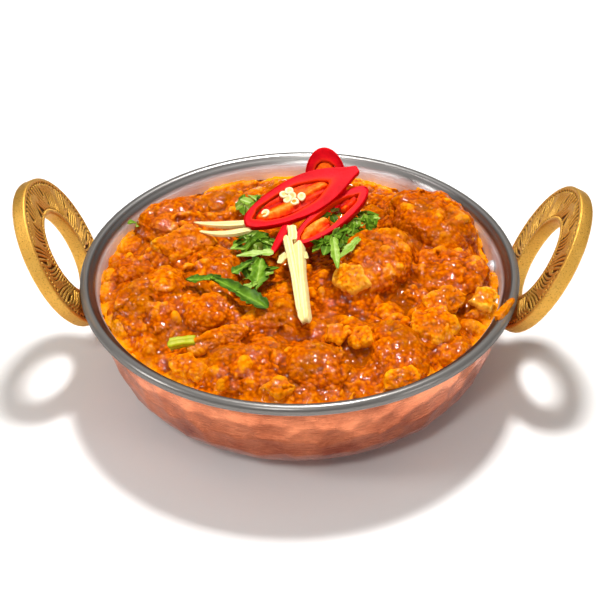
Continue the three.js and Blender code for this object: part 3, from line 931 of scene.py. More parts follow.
def store_heights_for_painted_shade(made, near_rounds=8, far_rounds=120):
    """How far each point stands above its near and its wider surroundings, for the material to paint shade in
    the hollows and light on the ridges.
    """
    points = points_of(made)
    edges = np.empty(2 * len(made.data.edges), np.int32)
    made.data.edges.foreach_get("vertices", edges)
    edges = edges.reshape(-1, 2)
    normals = np.empty(3 * len(points))
    made.data.vertices.foreach_get("normal", normals)
    normals = normals.reshape(-1, 3)
    near = np.stack([averaged(points[:, k], edges, near_rounds) for k in range(3)], 1)
    far = np.stack([averaged(near[:, k], edges, far_rounds) for k in range(3)], 1)
    set_values(made, "stands_near", ((points - near) * normals).sum(1))
    set_values(made, "stands_far", ((near - far) * normals).sum(1))
    return made


# %% Oily grainy sauce
BEAD_SPACING = 1.4               # mm between the finest grains


def masala_finish(name, pit_painted_shade, low, high, crest_painted_light, patch):
    """Four colours from the hollows to the ridges, painted shade in the hollows and painted light on the
    ridges, a fifth in broad patches, and a film of oil.
    """
    material, tree, shader = new_material(name)
    place = put(tree, "ShaderNodeTexCoord").outputs["Object"]
    cells = put(tree, "ShaderNodeTexVoronoi", {"feature": "F1"}, Vector=place, Scale=1 / (BEAD_SPACING * MM))
    far = maths(tree, "MULTIPLY", cells.outputs["Distance"], cells.outputs["Distance"])
    bead = maths(tree, "MULTIPLY", maths(tree, "MAXIMUM", maths(tree, "SUBTRACT", 0.4, far), 0.0), 1.6)
    fine = maths(tree, "SUBTRACT", noise(tree, place, 700.0, 3.0, 0.65), 0.5)
    # painted shade and light: the colour level falls in hollows and between the beads and rises on ridges and
    # bead tops
    level = 0.4
    for value, weight in ((stored(tree, "stands_near"), 1.0), (stored(tree, "rim"), 0.35),
                          (stored(tree, "stands_far"), 0.22), (fine, 0.25),
                          (maths(tree, "SUBTRACT", bead, 0.4), 0.55)):
        level = maths(tree, "MULTIPLY_ADD", value, weight, level)
    ramp = colour_ramp(tree, level, (0.0, pit_painted_shade), (0.3, low), (0.62, high), (1.0, crest_painted_light))
    spread = remap(tree, noise(tree, place, 95.0, 3.0, 0.6), 0.45, 0.62, to_high=0.5)
    relief = bump(tree, bead, 1.0, 0.0003)
    feed(tree, shader, Base_Color=blend(tree, spread, ramp, patch), Normal=relief, Coat_Normal=relief,
         Roughness=0.5, Specular_IOR_Level=0.0, IOR=1.42, Coat_Roughness=0.03,
         Coat_Weight=remap(tree, noise(tree, place, 430.0, 2.0, 0.6), 0.46, 0.6),
         Subsurface_Weight=0.1, Subsurface_Radius=(1.0, 0.5, 0.1), Subsurface_Scale=0.001)
    return material


finishes = {
    "sauce": masala_finish("masala_sauce_oily", "#843200", "#be5200", "#dc7400", "#f0940c", "#a45200"),
    "lamb": masala_finish("stewed_lamb_in_masala", "#803200", "#ba4e00", "#d86e00", "#f0920c", "#9a5200"),
    "diced": masala_finish("diced_onion_in_masala", "#983c00", "#c85c00", "#e47e02", "#f8a010", "#c46602"),
    "onion": masala_finish("soft_onion_in_masala", "#a84c00", "#d87200", "#f09a10", "#ffbe3c", "#d07808"),
}


# %% [markdown]
# ## Lamb and onion pieces
#
# The frame holds each piece as a plain block of the right size and place. From the middle of a block,
# rays go out through the points of a finely divided sphere until they meet the block, which gives the
# fine piece exactly that block's shape. The distances are then averaged between neighbours, so that the
# corners turn soft like stewed meat, and the skin tree gives the piece its coat of sauce.

# %% A sphere of even squares
def divided_sphere(cuts):
    work = bmesh.new()
    bmesh.ops.create_cube(work, size=2)
    bmesh.ops.subdivide_edges(work, edges=work.edges[:], cuts=cuts, use_grid_fill=True)
    work.verts.ensure_lookup_table()
    points = np.array([v.co for v in work.verts])
    points = np.tan(points * math.pi / 4)
    points /= np.linalg.norm(points, axis=1, keepdims=True)
    faces = [[v.index for v in f.verts] for f in work.faces]
    edges = np.array([[v.index for v in e.verts] for e in work.edges])
    work.free()
    return points, faces, edges


GRID_STEP = 0.42                 # spacing of points on the filling


def solid_tree(nodes):
    """One search tree over the faces of some nodes, in millimetres."""
    points, faces = [], []
    for node in nodes:
        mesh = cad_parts[node].data
        first = len(points)
        points += [Vector(v.co) / MM for v in mesh.vertices]
        faces += [[first + v for v in f.vertices] for f in mesh.polygons]
    return BVHTree.FromPolygons(points, faces)


def coat(made, finish, slot, node, **sizes):
    """Grow the skin on a shape, measure its hollows and hand it over."""
    run_tree(outward(made), skin, Material=finishes[finish], **sizes)
    return settle(store_heights_for_painted_shade(made), slot, node)


def coated_piece(node, finish, soften=0.12, **sizes):
    low, high = (np.array(c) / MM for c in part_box(node))
    middle, half = (low + high) / 2, (high - low) / 2
    cuts = int(1.57 * max(half) / GRID_STEP)
    rays, faces, edges = divided_sphere(cuts)
    block = solid_tree([node])
    stretch = rays * half
    aim = stretch / np.linalg.norm(stretch, axis=1, keepdims=True)
    reach = np.array([(block.ray_cast(Vector(middle), Vector(a))[3] or half.min()) for a in aim])
    reach = averaged(reach, edges, int((soften * cuts) ** 2) + 2)
    made = mesh_object(node + "_coated", middle + aim * reach[:, None], faces)
    return coat(made, finish, finish, node, **sizes)


for node in nodes_with("lamb_"):
    coated_piece(node, "lamb", Fold_height=2.2)


# %% Onion petals
PETAL_STEP = 0.3                 # spacing of points on a petal


def straight_sides(turns, corners, dice):
    """Reach of a shape with equal straight sides at some turns, 1 at its corners."""
    sector = FULL_TURN / corners
    bearing = (turns + dice.uniform(0, sector)) % sector - sector / 2
    return math.cos(sector / 2) / np.cos(bearing)


def petal_outline(turns, seed):
    """A cut shape with four or five nearly straight sides, about 1 from its middle."""
    dice = np.random.default_rng(seed)
    flat = straight_sides(turns, int(dice.integers(4, 6)), dice)
    return (0.8 * flat + 0.18) * (1 + 0.08 * np.sin(turns + dice.uniform(0, 6)) + 0.05 * np.sin(
        2 * turns + dice.uniform(0, 6)))


def onion_petal(node, seed, finish):
    """A slightly curved piece of onion with crisp cut sides, laid where the frame has the piece."""
    middle, axes, half = lie_of(node)
    count = int(2 * max(half) / PETAL_STEP)
    x, y = disc_of_squares(count)
    out = np.hypot(x, y)
    outline = petal_outline(np.arctan2(y, x), seed)
    edge = np.clip(1 - out ** 9, 0, 1) ** 0.5
    dish = 0.3 * half[2] * (1 - 2 * x * x - 0.6 * y * y)
    thick = 0.5 * half[2] + 0.4
    flat = np.stack([half[0] * 1.05 * x * outline, half[1] * 1.08 * y * outline], 1)
    upper = np.column_stack([flat, dish + 0.3 * half[2] + thick * edge])
    lower = np.column_stack([flat, dish + 0.3 * half[2] - thick * edge])
    points, faces = both_sides(upper, lower, count, count)
    rim = np.tile(np.clip((out - 0.75) / 0.25, 0, 1) ** 2, 2)
    made = mesh_object(node + "_petal", laid(points, middle, axes), faces, rim=rim)
    return coat(made, finish, "onion", node, Fold_size=8.0, Fold_height=1.1, Lump_height=2.2,
                Grain_height=0.8)


petals = [n for n in nodes_with("onion_") if n != "onion_rim_strip"]
for seed, node in enumerate(petals):
    onion_petal(node, seed, "onion" if node in ("onion_middle", "onion_right_end") else "diced")


# %% [markdown]
# ## The sauce
#
# The sauce is one disc of even squares, raised to a height everywhere. The frame's solid gives the broad
# height. Under each piece the frame has a pocket, so there the height is filled in from around, like a
# drum skin. Small lumps of onion and tomato lie on that, and the skin tree adds the grains.

# %% Broad height from the frame
MAP_REACH = 70                   # from the middle to the map's sides
MAP_STEP = 1.0
SAUCE_REACH = 66.5               # beyond this radius the map isn't asked
COAT_DEPTH = 0.6                 # the sauce lies this far under the skin of a piece


def blurred(height, rounds, known=None):
    """Heights evened out with their four neighbours; known heights may be held."""
    start = height
    for _ in range(rounds):
        padded = np.pad(height, 1, mode="edge")
        height = (padded[:-2, 1:-1] + padded[2:, 1:-1] + padded[1:-1, :-2] + padded[1:-1, 2:]) / 4
        if known is not None:
            height = np.where(known, start, height)
    return height


def height_map():
    axis = np.arange(-MAP_REACH, MAP_REACH + MAP_STEP / 2, MAP_STEP)
    sauce = solid_tree(["masala_sauce"])
    pieces = solid_tree([n for n in nodes_with("lamb_", "onion_") if "rim" not in n])
    garnish = solid_tree(nodes_with("chilli", "coriander", "ginger", "green"))
    height, piece_height = np.zeros((2, len(axis), len(axis)))
    known = np.zeros(height.shape, bool)
    down = Vector((0, 0, -1))
    for i, x in enumerate(axis):
        for j, y in enumerate(axis):
            if math.hypot(x, y) > SAUCE_REACH:
                continue
            above = Vector((x, y, 120))
            hit, piece, over = (tree.ray_cast(above, down)[0] for tree in (sauce, pieces, garnish))
            known[i, j] = hit is not None and piece is None and over is None
            height[i, j] = hit.z if hit else 0
            piece_height[i, j] = piece.z if piece else 0
    filled = blurred(np.where(known, height, height[known].mean()), 500, known)
    everything = blurred(np.maximum(filled, piece_height), 5)
    return blurred(np.maximum(filled, everything - COAT_DEPTH), 2)


broad_height = height_map()
print("sauce stands", broad_height.min().round(1), "to", broad_height.max().round(1), "mm high")


def read_map(x, y):
    """Height between the map's points, by the four around."""
    i = np.clip((np.asarray(x) + MAP_REACH) / MAP_STEP, 0, broad_height.shape[0] - 1.001)
    j = np.clip((np.asarray(y) + MAP_REACH) / MAP_STEP, 0, broad_height.shape[1] - 1.001)
    a, b = i.astype(int), j.astype(int)
    u, v = i - a, j - b
    m = broad_height
    return (m[a, b] * (1 - u) * (1 - v) + m[a + 1, b] * u * (1 - v) + m[a, b + 1] * (1 - u) * v
            + m[a + 1, b + 1] * u * v)


# %% Lumps in the sauce
def sauce_lumps(count=260):
    """Place, half length, half width, height and turn of small soft lumps."""
    dice = np.random.default_rng(5)
    radius = 66 * np.sqrt(dice.random(count))
    turn = FULL_TURN * dice.random(count)
    long = dice.uniform(1.6, 5.5, count)
    return np.stack([
        radius * np.cos(turn), radius * np.sin(turn), long, long * dice.uniform(0.35, 0.9, count),
        dice.uniform(0.8, 2.6, count), dice.uniform(0, math.pi, count),
    ], 1)


def sauce_height(x, y):
    height = read_map(x, y)
    rise = np.zeros_like(height)
    for cx, cy, long, wide, tall, turn in sauce_lumps():
        near = np.flatnonzero((np.abs(x - cx) < long) & (np.abs(y - cy) < long))
        dx, dy = x[near] - cx, y[near] - cy
        u = (dx * math.cos(turn) + dy * math.sin(turn)) / long
        v = (dy * math.cos(turn) - dx * math.sin(turn)) / wide
        cap = tall * np.clip(1 - u * u - v * v, 0, 1) ** 0.8
        rise[near] = np.maximum(rise[near], cap)
    return height + rise


SAUCE_EDGE = 37.0                # height where the sauce meets the wall
SAUCE_POINTS = 285               # across the surface
SAUCE_DEPTHS = (3, 8, 16, 24, 30)


def masala():
    """The surface, then rings down along the wall and one point in the middle of the bottom."""
    x, y = disc_of_squares(SAUCE_POINTS)
    edge = wall_radius(SAUCE_EDGE, LINER_INSIDE) + 0.1
    x, y = x * edge, y * edge
    points = np.stack([x, y, sauce_height(x, y)], 1)
    faces = grid_faces(SAUCE_POINTS, SAUCE_POINTS).tolist()
    rim = grid_border(SAUCE_POINTS, SAUCE_POINTS)
    border = points[rim]
    for depth in SAUCE_DEPTHS:
        level = SAUCE_EDGE - depth
        shrink = (wall_radius(level, LINER_INSIDE) - 0.3) / edge
        ring = list(range(len(points), len(points) + len(rim)))
        points = np.concatenate([points, border * [shrink, shrink, 0] + [0, 0, level]])
        faces += zip(rim, rim[1:] + rim[:1], ring[1:] + ring[:1], ring)
        rim = ring
    faces += [(a, b, len(points)) for a, b in zip(rim, rim[1:] + rim[:1])]
    made = mesh_object("masala_sauce_grainy", np.concatenate([points, [[0, 0, level]]]), faces)
    return coat(made, "sauce", "sauce", "masala_sauce")


masala()


# %% [markdown]
# ## Chilli slices
#
# A red chilli cut on the slant gives long rings. The cut flesh is matt crimson, the skin round the outside
# is a deeper red, and the wall of the hollow is thin and orange-red. A ring is a section with rounded
# corners, carried round between an outer and an inner outline. The end that was nearer the stalk is drawn
# to a point.

# %% Chilli flesh
def chilli_finish():
    """Matt cut flesh, with stored shares of orange-red inner wall and of deep red skin."""
    material, tree, shader = new_material("red_chilli_cut_flesh_and_skin")
    place = put(tree, "ShaderNodeTexCoord").outputs["Object"]
    mixed = colour_ramp(tree, noise(tree, place, 160.0, 3.0), (0.35, "#c40010"), (0.7, "#ee0a1c"))
    for share, code in (("inner", "#f03c06"), ("skin", "#cc0004")):
        mixed = blend(tree, stored(tree, share), mixed, code)
    feed(tree, shader, Base_Color=mixed, Normal=bump(tree, noise(tree, place, 1500.0, 3.0), 0.4, 0.0002),
         Roughness=0.5, Specular_IOR_Level=0.08, Subsurface_Weight=0.15,
         Subsurface_Radius=(1.0, 0.2, 0.1), Subsurface_Scale=0.001)
    return material


chilli_flesh = chilli_finish()


# %% Sliced rings
def slice_edge(turns, centre, along, across, point):
    """An ellipse about (centre, 0) whose far end is drawn to a point."""
    draw = point * (1 + np.cos(turns)) / 2
    side = np.abs(np.sin(turns)) ** (1 + draw)
    blunt = 0.3 * min(point, 1) * np.abs(np.sin(turns)) ** 0.3 * ((1 + np.cos(turns)) / 2) ** 2
    side = np.sign(np.sin(turns)) * np.hypot(side, blunt)
    return np.stack([centre + along * np.cos(turns), across * np.clip(side, -1, 1)], 1)


def ripple(turns, size, waves, seed):
    """A closed line of small swings, the sum of a few waves."""
    dice = np.random.default_rng(seed)
    return sum(size / k ** 0.5 * np.sin(k * turns + dice.uniform(0, FULL_TURN)) for k in waves)


SECTION_SHARES = {               # round the section: hollow (5 points), cut face (9), skin (9), underside (3)
    "skin": [0] * 14 + [1] * 9 + [0] * 3,
    "inner": [1] * 5 + [0.8, 0.35, 0.1] + [0] * 18,
}


def chilli_slice(node, hole, point=0.0, along=(1, 0, 0), narrow=0.0):
    """One slice; its hole is a middle and two half sizes, and `narrow` takes mm off one long side."""
    middle, axes, half = lie_of(node, along)
    turns = all_round(160)
    outer = slice_edge(turns, 0, half[0], half[1] - narrow / 2, point) - [0, narrow / 2]
    inner = slice_edge(turns, *hole, point * 0.5) - [0, narrow / 2]
    inner += (inner - [hole[0], 0]) * ripple(turns, 0.03, range(3, 12), 4)[:, None]
    thick = half[2]
    corner = 0.35 * thick
    bend = np.linspace(0, math.pi / 2, 4)
    rim = [(corner * (1 - math.sin(b)), thick - corner * (1 - math.cos(b))) for b in bend]
    skin_side = [(0.18 * thick * (u * u), (thick - corner) * u) for u in np.linspace(0.8, -0.8, 5)]
    under = [(inset, -height) for inset, height in rim[::-1]]
    lines = []
    for o, n in zip(outer, inner):
        gap = n - o
        width = np.linalg.norm(gap)
        face = [(s * width, thick - 0.08 * math.sin(math.pi * s) ** 2) for s in np.linspace(0.97, 0.12, 8)]
        inside = [(width, h) for h in np.linspace(-0.8 * thick, 0.85 * thick, 4)]
        section = [(0.97 * width, -thick)] + inside + face + rim + skin_side + under
        lines.append([(*(o + gap * inset / max(width, 1e-6)), height) for inset, height in section])
    lines = np.array(lines)
    rows, columns = lines.shape[:2]
    faces = grid_faces(rows, columns, True, True)
    shares = {name: np.tile(share, rows) for name, share in SECTION_SHARES.items()}
    made = mesh_object(node + "_cut", laid(lines.reshape(-1, 3), middle, axes), faces, **shares)
    return settle(outward(made), "chilli_skin", node, material=chilli_flesh)


chilli_slice("chilli_slice_top", (-3.8, 14.6, 4.8), 1.3)
chilli_slice("chilli_slice_lower", (0.8, 13.6, 3.2), 0.5, along=(-1, -1, 0), narrow=1.0)
chilli_slice("chilli_slice_back", (2.0, 5.0, 4.2), 0.0, along=(0, 0, 1))


# %% [markdown]
# ## Membrane and seeds
#
# A pale rib of membrane runs through a chilli and carries its seeds. In a slice it is an orange ridge
# across the hollow, with deep red gaps beside it and at the hollow's edge, partly the red flesh showing and
# partly painted shade. The ridge is a disc of even squares raised by a formula, and its height is stored
# for the colour. The seeds are flat, round and cream, with a raised rim.

# %% One colour rule for the small pieces
def ramp_finish(name, source, codes, roughness, bump_scale, bump_height, soft=0.0, radius=(1, 1, 1),
                gloss=0.1):
    """A material whose colour follows a stored number, with fine noise in it and a fine relief."""
    material, tree, shader = new_material(name)
    place = put(tree, "ShaderNodeTexCoord").outputs["Object"]
    fine = noise(tree, place, bump_scale, 4.0, 0.6)
    level = maths(tree, "SUBTRACT", maths(tree, "MULTIPLY_ADD", fine, 0.6, stored(tree, source)), 0.3)
    stops = zip(np.linspace(0, 1, len(codes)), codes)
    feed(tree, shader, Base_Color=colour_ramp(tree, level, *stops), Normal=bump(tree, fine, 0.5, bump_height),
         Roughness=roughness, Specular_IOR_Level=gloss, Subsurface_Weight=soft, Subsurface_Radius=radius,
         Subsurface_Scale=0.001)
    return material


membrane_flesh = ramp_finish("chilli_membrane", "high",
                             ("#b00a00", "#e83000", "#f87406", "#fcac44", "#fff2d4"), 0.5, 700.0, 0.0003, 0.3,
                             (1.0, 0.4, 0.2))
seed_skin = ramp_finish("chilli_seed_husk", "high", ("#e6b866", "#f6d696", "#fdecc0"), 0.45, 900.0, 0.0001,
                        0.3, (1.0, 0.8, 0.5))


# %% Membrane
def membrane(name, node, along, span, line, widths, tone, seed, stands_for=()):
    """Inner flesh over part of a hole: a rib that follows a line, with lumps; closed underneath."""
    middle, axes, half = lie_of(node, along)
    count = 70
    x, y = disc_of_squares(count)
    lumps = np.zeros(len(x))
    dice = np.random.default_rng(seed)
    for _ in range(46):
        cx, cy, size = dice.uniform(-1, 1), dice.uniform(-1, 1), dice.uniform(0.1, 0.25)
        lumps += dice.uniform(0.3, 1) * np.exp(-((x - cx) / size / 1.4) ** 2 - ((y - cy) / size) ** 2)
    lumps /= lumps.max()
    stations = np.linspace(-1, 1, len(line))
    rib = np.exp(-((y - np.interp(x, stations, line)) / np.interp(x, stations, widths)) ** 4)
    edge = np.clip((1 - x * x - y * y) * 5, 0, 1)
    top = edge * (0.8 * half[2] * rib + 0.9 * lumps) + edge - 0.85 * half[2]
    centre, along_half, across_half = span
    flat = [centre + along_half * x, across_half * y]
    upper = np.stack([*flat, top], 1)
    lower = np.stack([*flat, top - 0.8 * edge ** 0.5], 1)
    points, faces = both_sides(upper, lower, count, count)
    # deep red where this falls to 0 at the hole's edge and between rib and lumps: partly the flesh's colour,
    # partly painted shade
    high = np.tile(edge * np.clip(tone * rib + 0.4 * lumps - 0.05, 0, 1), 2)
    made = mesh_object(name, laid(points, middle, axes), faces, high=high)
    return settle(outward(made), "chilli_core", *stands_for, material=membrane_flesh)


membrane("chilli_slice_top_membrane", "chilli_slice_top", (1, 0, 0), (-3.6, 14.6, 4.6),
         (-0.1, -0.3, -0.3, 0.15, 0.2, 0.05), (0.3, 0.5, 0.5, 0.35, 0.3, 0.3), 0.42, 1,
         ["chilli_slice_top_core"])
membrane("chilli_slice_back_membrane", "chilli_slice_back", (0, 0, 1), (2.0, 5.1, 4.3),
         (0, 0, 0, 0), (0.5, 1.0, 1.0, 0.5), 0.4, 2, ["chilli_slice_back_core"])
membrane("chilli_slice_lower_membrane", "chilli_slice_lower", (-1, -1, 0), (7.6, 6.8, 3.3),
         (-0.5, -0.5, -0.3, 0.0), (0.6, 0.6, 0.5, 0.3), 0.42, 3)
membrane("chilli_slice_lower_crumbs", "chilli_slice_lower", (-1, -1, 0), (-8.6, 3.8, 2.9),
         (-0.2, 0.1, 0.2), (0.3, 0.4, 0.3), 0.1, 4)


# %% Seeds
SEED_PLACES = {
    "top": ((1, 0, 0), [(-5.4, 3.3, 40), (-3.0, 3.7, 200), (-3.0, 1.5, 90), (-0.2, -0.3, 250),
                        (-3.3, -0.9, 300), (-5.0, 1.0, 20), (-14.2, -0.1, 210)]),
    "back": ((0, 0, 1), [(3.0, 1.3, 10), (1.0, -1.2, 100), (0.6, 2.6, 220)]),
}


def seed_shape(radius=1.65, thick=0.45):
    """A flat round seed with a raised rim and a small beak; also how light each point is."""
    turns = all_round(24)
    profile = [(0, 0.5), (0.4, 0.5), (0.66, 1), (0.88, 0.9), (1, 0), (0.92, -0.8), (0.5, -0.9), (0, -0.9)]
    light = [0.2, 0.3, 0.9, 0.9, 0.35, 0.2, 0.2, 0.2]
    lines = []
    for turn in turns:
        beak = math.exp(-(turn / 0.35) ** 2) + math.exp(-((turn - FULL_TURN) / 0.35) ** 2)
        reach = radius * (1 + 0.16 * beak)
        lines.append([(reach * r * math.cos(turn), reach * r * math.sin(turn) * 0.92, thick * h)
                      for r, h in profile])
    faces = grid_faces(len(turns), len(profile), closed_rows=True).tolist()
    return np.array(lines).reshape(-1, 3), faces, np.tile(light, len(turns))


def turned_about(points, tilt, lean, spin):
    """Points turned about z, then x, then y, by angles in radians."""
    turn = Matrix.Rotation(lean, 3, "Y") @ Matrix.Rotation(tilt, 3, "X") @ Matrix.Rotation(spin, 3, "Z")
    return points @ np.array(turn).T


def seeds(side, along, places):
    middle, axes, half = lie_of("chilli_slice_" + side, along)
    dice = np.random.default_rng(8)
    shape, faces, light = seed_shape()
    parts = []
    for x, y, spin in places:
        seed = turned_about(shape, *dice.uniform(-0.35, 0.35, 2), math.radians(spin))
        parts.append((laid(seed + [x, y, half[2] * 0.8], middle, axes), faces, light))
    return settle(joined(f"chilli_seeds_{side}", "high", parts), "chilli_core", material=seed_skin)


for side, (along, places) in SEED_PLACES.items():
    seeds(side, along, places)


# %% Edge slice
def pointed_strip(node, along):
    """A narrow cut of flesh seen from its side: flat on top, and a little narrower at one round end."""
    middle, axes, half = lie_of(node, along)
    share = np.linspace(0, 1, 40)
    turns = all_round(24)
    square = squarish(turns, 5)
    lines = []
    for s in share:
        x = half[0] * (1.9 * s - 1)
        wide = (1.75 - 0.65 * s) * np.clip(12 * s, 0.04, 1) ** 0.5 * (1 - s ** 7) ** 0.5
        tall = half[2] * (0.3 + 0.7 * wide / 1.75)
        lines.append([(x, wide * q * np.cos(t) - 1.0 + 0.15 * x, tall * q * np.sin(t))
                      for q, t in zip(square, turns)])
    points, faces = capped_tube(lines)
    skin_share = np.tile(np.sin(turns) < -0.2, len(share))
    made = mesh_object(node + "_cut", laid(points, middle, axes), faces, skin=skin_share)
    return settle(outward(made), "chilli_skin", node, material=chilli_flesh)


pointed_strip("chilli_slice_edge", (-1, -1, 0))


# %% [markdown]
# ## Ginger matchsticks
#
# Fresh ginger cut into sticks is pale yellow and shows its fibres as fine lines along the stick. The knife
# leaves flat sides and sharp edges, and the ends are torn rather than flat. A stick is a squarish section
# carried along a slightly bent line. Two small torn bits lie on the sticks in the middle.

# %% Sticks with fibres
def matchstick(node, along, tip, bend, seed, slot="ginger", finish=None, torn=0.5):
    middle, axes, half = lie_of(node, along)
    dice = np.random.default_rng(seed)
    share = np.linspace(0, 1, 70)
    turns = all_round(48)
    square = squarish(turns, 12)
    fibre = sum(dice.uniform(0.004, 0.014) * np.sin(k * turns + dice.uniform(0, 6)) for k in range(5, 18))
    lines = []
    for s in share:
        end = min(1, (s * 18) ** 0.7, ((1 - s) * 18) ** 0.7)
        narrow = (1 + (tip - 1) * s ** 2) * (1 - torn + torn * end)
        wander = 0.05 * np.sin(7 * s + seed) + 0.03 * np.sin(17 * s + 2 * seed)
        reach = square * (1 + fibre + wander) * narrow * 0.9
        lines.append(np.stack([
            half[0] * (2 * s - 1) + (0.5 - end / 2) * np.sin(turns * 2 + seed),
            half[1] * reach * np.cos(turns) + bend * (4 * s * (1 - s) - 0.5),
            half[2] * reach * np.sin(turns),
        ], 1))
    points, faces = capped_tube(lines)
    high = np.tile(0.6 + 9 * fibre, len(share))
    made = mesh_object(node + "_stick", laid(points, middle, axes), faces, high=high)
    return settle(outward(made), slot, node, material=finish or ginger_flesh)


ginger_flesh = ramp_finish("fresh_ginger_fibres", "high", ("#d6b866", "#ecd88c", "#f6e8b4"), 0.5, 500.0,
                           0.0002, 0.35, (1.0, 0.9, 0.5))
matchstick("ginger_middle_long", (0, -1, 0), 0.7, 0.4, 1)
matchstick("ginger_middle_second", (0, -1, 0), 1.0, -0.3, 2)
matchstick("ginger_short_left", (0, -1, 0), 0.9, 0.3, 3)
matchstick("ginger_left_long", (-1, 0, 0), 0.25, 1.0, 4)
matchstick("ginger_left_second", (-1, 0, 0), 0.25, 2.4, 5)
matchstick("onion_rim_strip", (1, 0, 0), 0.5, 0.3, 6, "onion", finishes["onion"])


# %% Thin sheets
def thin_sheet(upper, rows, columns, thick):
    """Close a grid of points into a sheet with an underside and an edge."""
    points, faces = both_sides(upper, upper - [0, 0, thick], rows, columns)
    border, count = grid_border(rows, columns), len(upper)
    faces += [[a, b, b + count, a + count] for a, b in zip(border, border[1:] + border[:1])]
    return points, faces


def flake(length, width, corners, fold, seed, shade=0.5, thick=0.18):
    """A flat bit with straight cut sides, folded a little along its middle; also its light and dark."""
    dice = np.random.default_rng(seed)
    x, y = disc_of_squares(13)
    turns = np.arctan2(y, x)
    reach = straight_sides(turns, corners, dice) * (1 + 0.15 * np.sin(2 * turns + dice.uniform(0, 6)))
    rise = fold * np.abs(y) * width / 2 + 0.25 * np.sin(2.2 * x + seed)
    upper = np.stack([length / 2 * x * reach, width / 2 * y * reach, rise], 1)
    points, faces = thin_sheet(upper, 13, 13, thick)
    return points, faces, np.tile(shade + 0.35 * np.exp(-(y / 0.14) ** 2), 2)


def placed_flakes(name, places, slot, finish, source):
    """Flakes at places in mm; each place has a middle, three turns in degrees and a flake."""
    parts = []
    for middle, turns, shape in places:
        flat, faces, values = flake(*shape)
        parts.append((turned_about(flat, *np.radians(turns)) + middle, faces, values))
    return settle(outward(joined(name, source, parts, smooth=False)), slot, material=finish)


placed_flakes("ginger_torn_bits", [
    ((-5.3, -6.4, 50.9), (20, -25, 70), (4.6, 3.4, 5, 0.3, 11, 0.5, 0.5)),
    ((2.2, -4.4, 50.9), (10, 30, 100), (3.8, 2.6, 4, 0.3, 12, 0.5, 0.5)),
], "ginger", ginger_flesh, "high")


# %% [markdown]
# ## Coriander
#
# A coriander leaf is a fan of lobes, each cut into teeth, thin and a little curled. One outline function
# draws it from its stalk. Chopped leaves lie in small heaps of flat bits with straight cut sides: a
# Geometry Nodes tree scatters them over the frame's heaps, tilts each at random and gives it its size.

# %% Leaf shapes
def leaf_mesh(length, width, lobes, teeth, curl, seed, blunt=0.0, shade=0.3):
    """A lobed leaf from the stalk at x = 0 to its tip; the blade is a thin closed sheet."""
    rows, columns = 30, 17
    lines, light = [], []
    for s in np.linspace(0, 1, rows):
        shape = math.sin(math.pi * (0.06 + s * (0.92 - 0.36 * blunt))) ** 0.75 * min(1, (1.01 - s) * 9) ** 0.5
        lobe = 1 - 0.3 * (0.5 + 0.5 * math.cos(FULL_TURN * lobes * s + 0.6))
        tooth = 1 - 0.28 * ((teeth * s) % 1.0)
        edge = width / 2 * shape * lobe * tooth
        for c in np.linspace(-1, 1, columns):
            x = length * (s + 0.16 * abs(c) * (1 - s) * math.sin(math.pi * s))
            z = curl * (c * c) * width * 0.22 + 0.05 * length * math.sin(3 * s + seed)
            lines.append((x, edge * c, z + 0.035 * width * math.sin(5 * c + 9 * s)))
            main_vein = math.exp(-(c / 0.1) ** 2)
            side_vein = math.exp(-(((s * 5 + abs(c)) % 1 - 0.5) / 0.12) ** 2)
            light.append(shade + 0.3 * main_vein + 0.15 * side_vein + 0.12 * math.sin(4 * c + seed))
    points, faces = thin_sheet(np.array(lines), rows, columns, 0.16)
    return points, faces, np.tile(light, 2)


coriander_leaf = ramp_finish("coriander_leaf", "vein", ("#2e4c08", "#5c8414", "#8cac3c", "#bccf80"), 0.5,
                             260.0, 0.0003, gloss=0.12)


def leaf_between(name, blades, *nodes):
    """One leaf of several blades; each blade runs from a point to a point, in mm."""
    parts = []
    for start, end, shape in blades:
        start, end = np.array(start, float), np.array(end, float)
        length = np.linalg.norm(end - start)
        long = (end - start) / length
        side = np.cross([0, 0, 1], long)
        side /= np.linalg.norm(side)
        blade, faces, veins = leaf_mesh(length, *shape)
        parts.append((start + blade @ np.stack([long, side, np.cross(long, side)]), faces, veins))
    return settle(outward(joined(name, "vein", parts)), "coriander", *nodes, material=coriander_leaf)


leaf_between("coriander_leaf_large_blade", [
    ((-28.5, -15.6, 47.8), (-9.2, -28.4, 47.4), (9.0, 2.2, 7, 0.5, 1, 1.0, 0.15)),
    ((-20.0, -21.0, 48.4), (-13.0, -17.0, 48.0), (3.6, 1.0, 3, 0.5, 4, 0.5, 0.55)),
], "coriander_leaf_large")
leaf_between("coriander_leaf_tip_blade", [
    ((-25.2, -15.4, 48.6), (-37.2, -14.4, 48.0), (5.2, 2.0, 5, 0.5, 2, 0.3, 0.2)),
], "coriander_leaf_tip")
leaf_between("coriander_leaf_right_blade", [
    ((13.4, -13.0, 51.6), (11.6, 3.0, 53.4), (4.4, 1.4, 4, 0.6, 3, 0.4, 0.6)),
    ((13.6, -7.5, 52.2), (20.6, 1.6, 53.2), (4.2, 1.2, 3, 0.5, 5, 0.9, 0.6)),
], "coriander_leaf_right")
leaf_between("coriander_front_leaves", [
    ((-21.0, -3.4, 49.6), (-8.4, -3.4, 50.6), (5.0, 1.6, 3, 0.3, 6, 0.9, 0.75)),
    ((-12.6, -6.0, 49.8), (-13.4, -19.5, 47.6), (7.5, 2.2, 5, 0.4, 7, 0.2, 0.35)),
    ((-15.5, -6.5, 49.2), (-22.0, -11.0, 48.2), (5.0, 1.6, 4, 0.4, 8, 0.8, 0.2)),
])


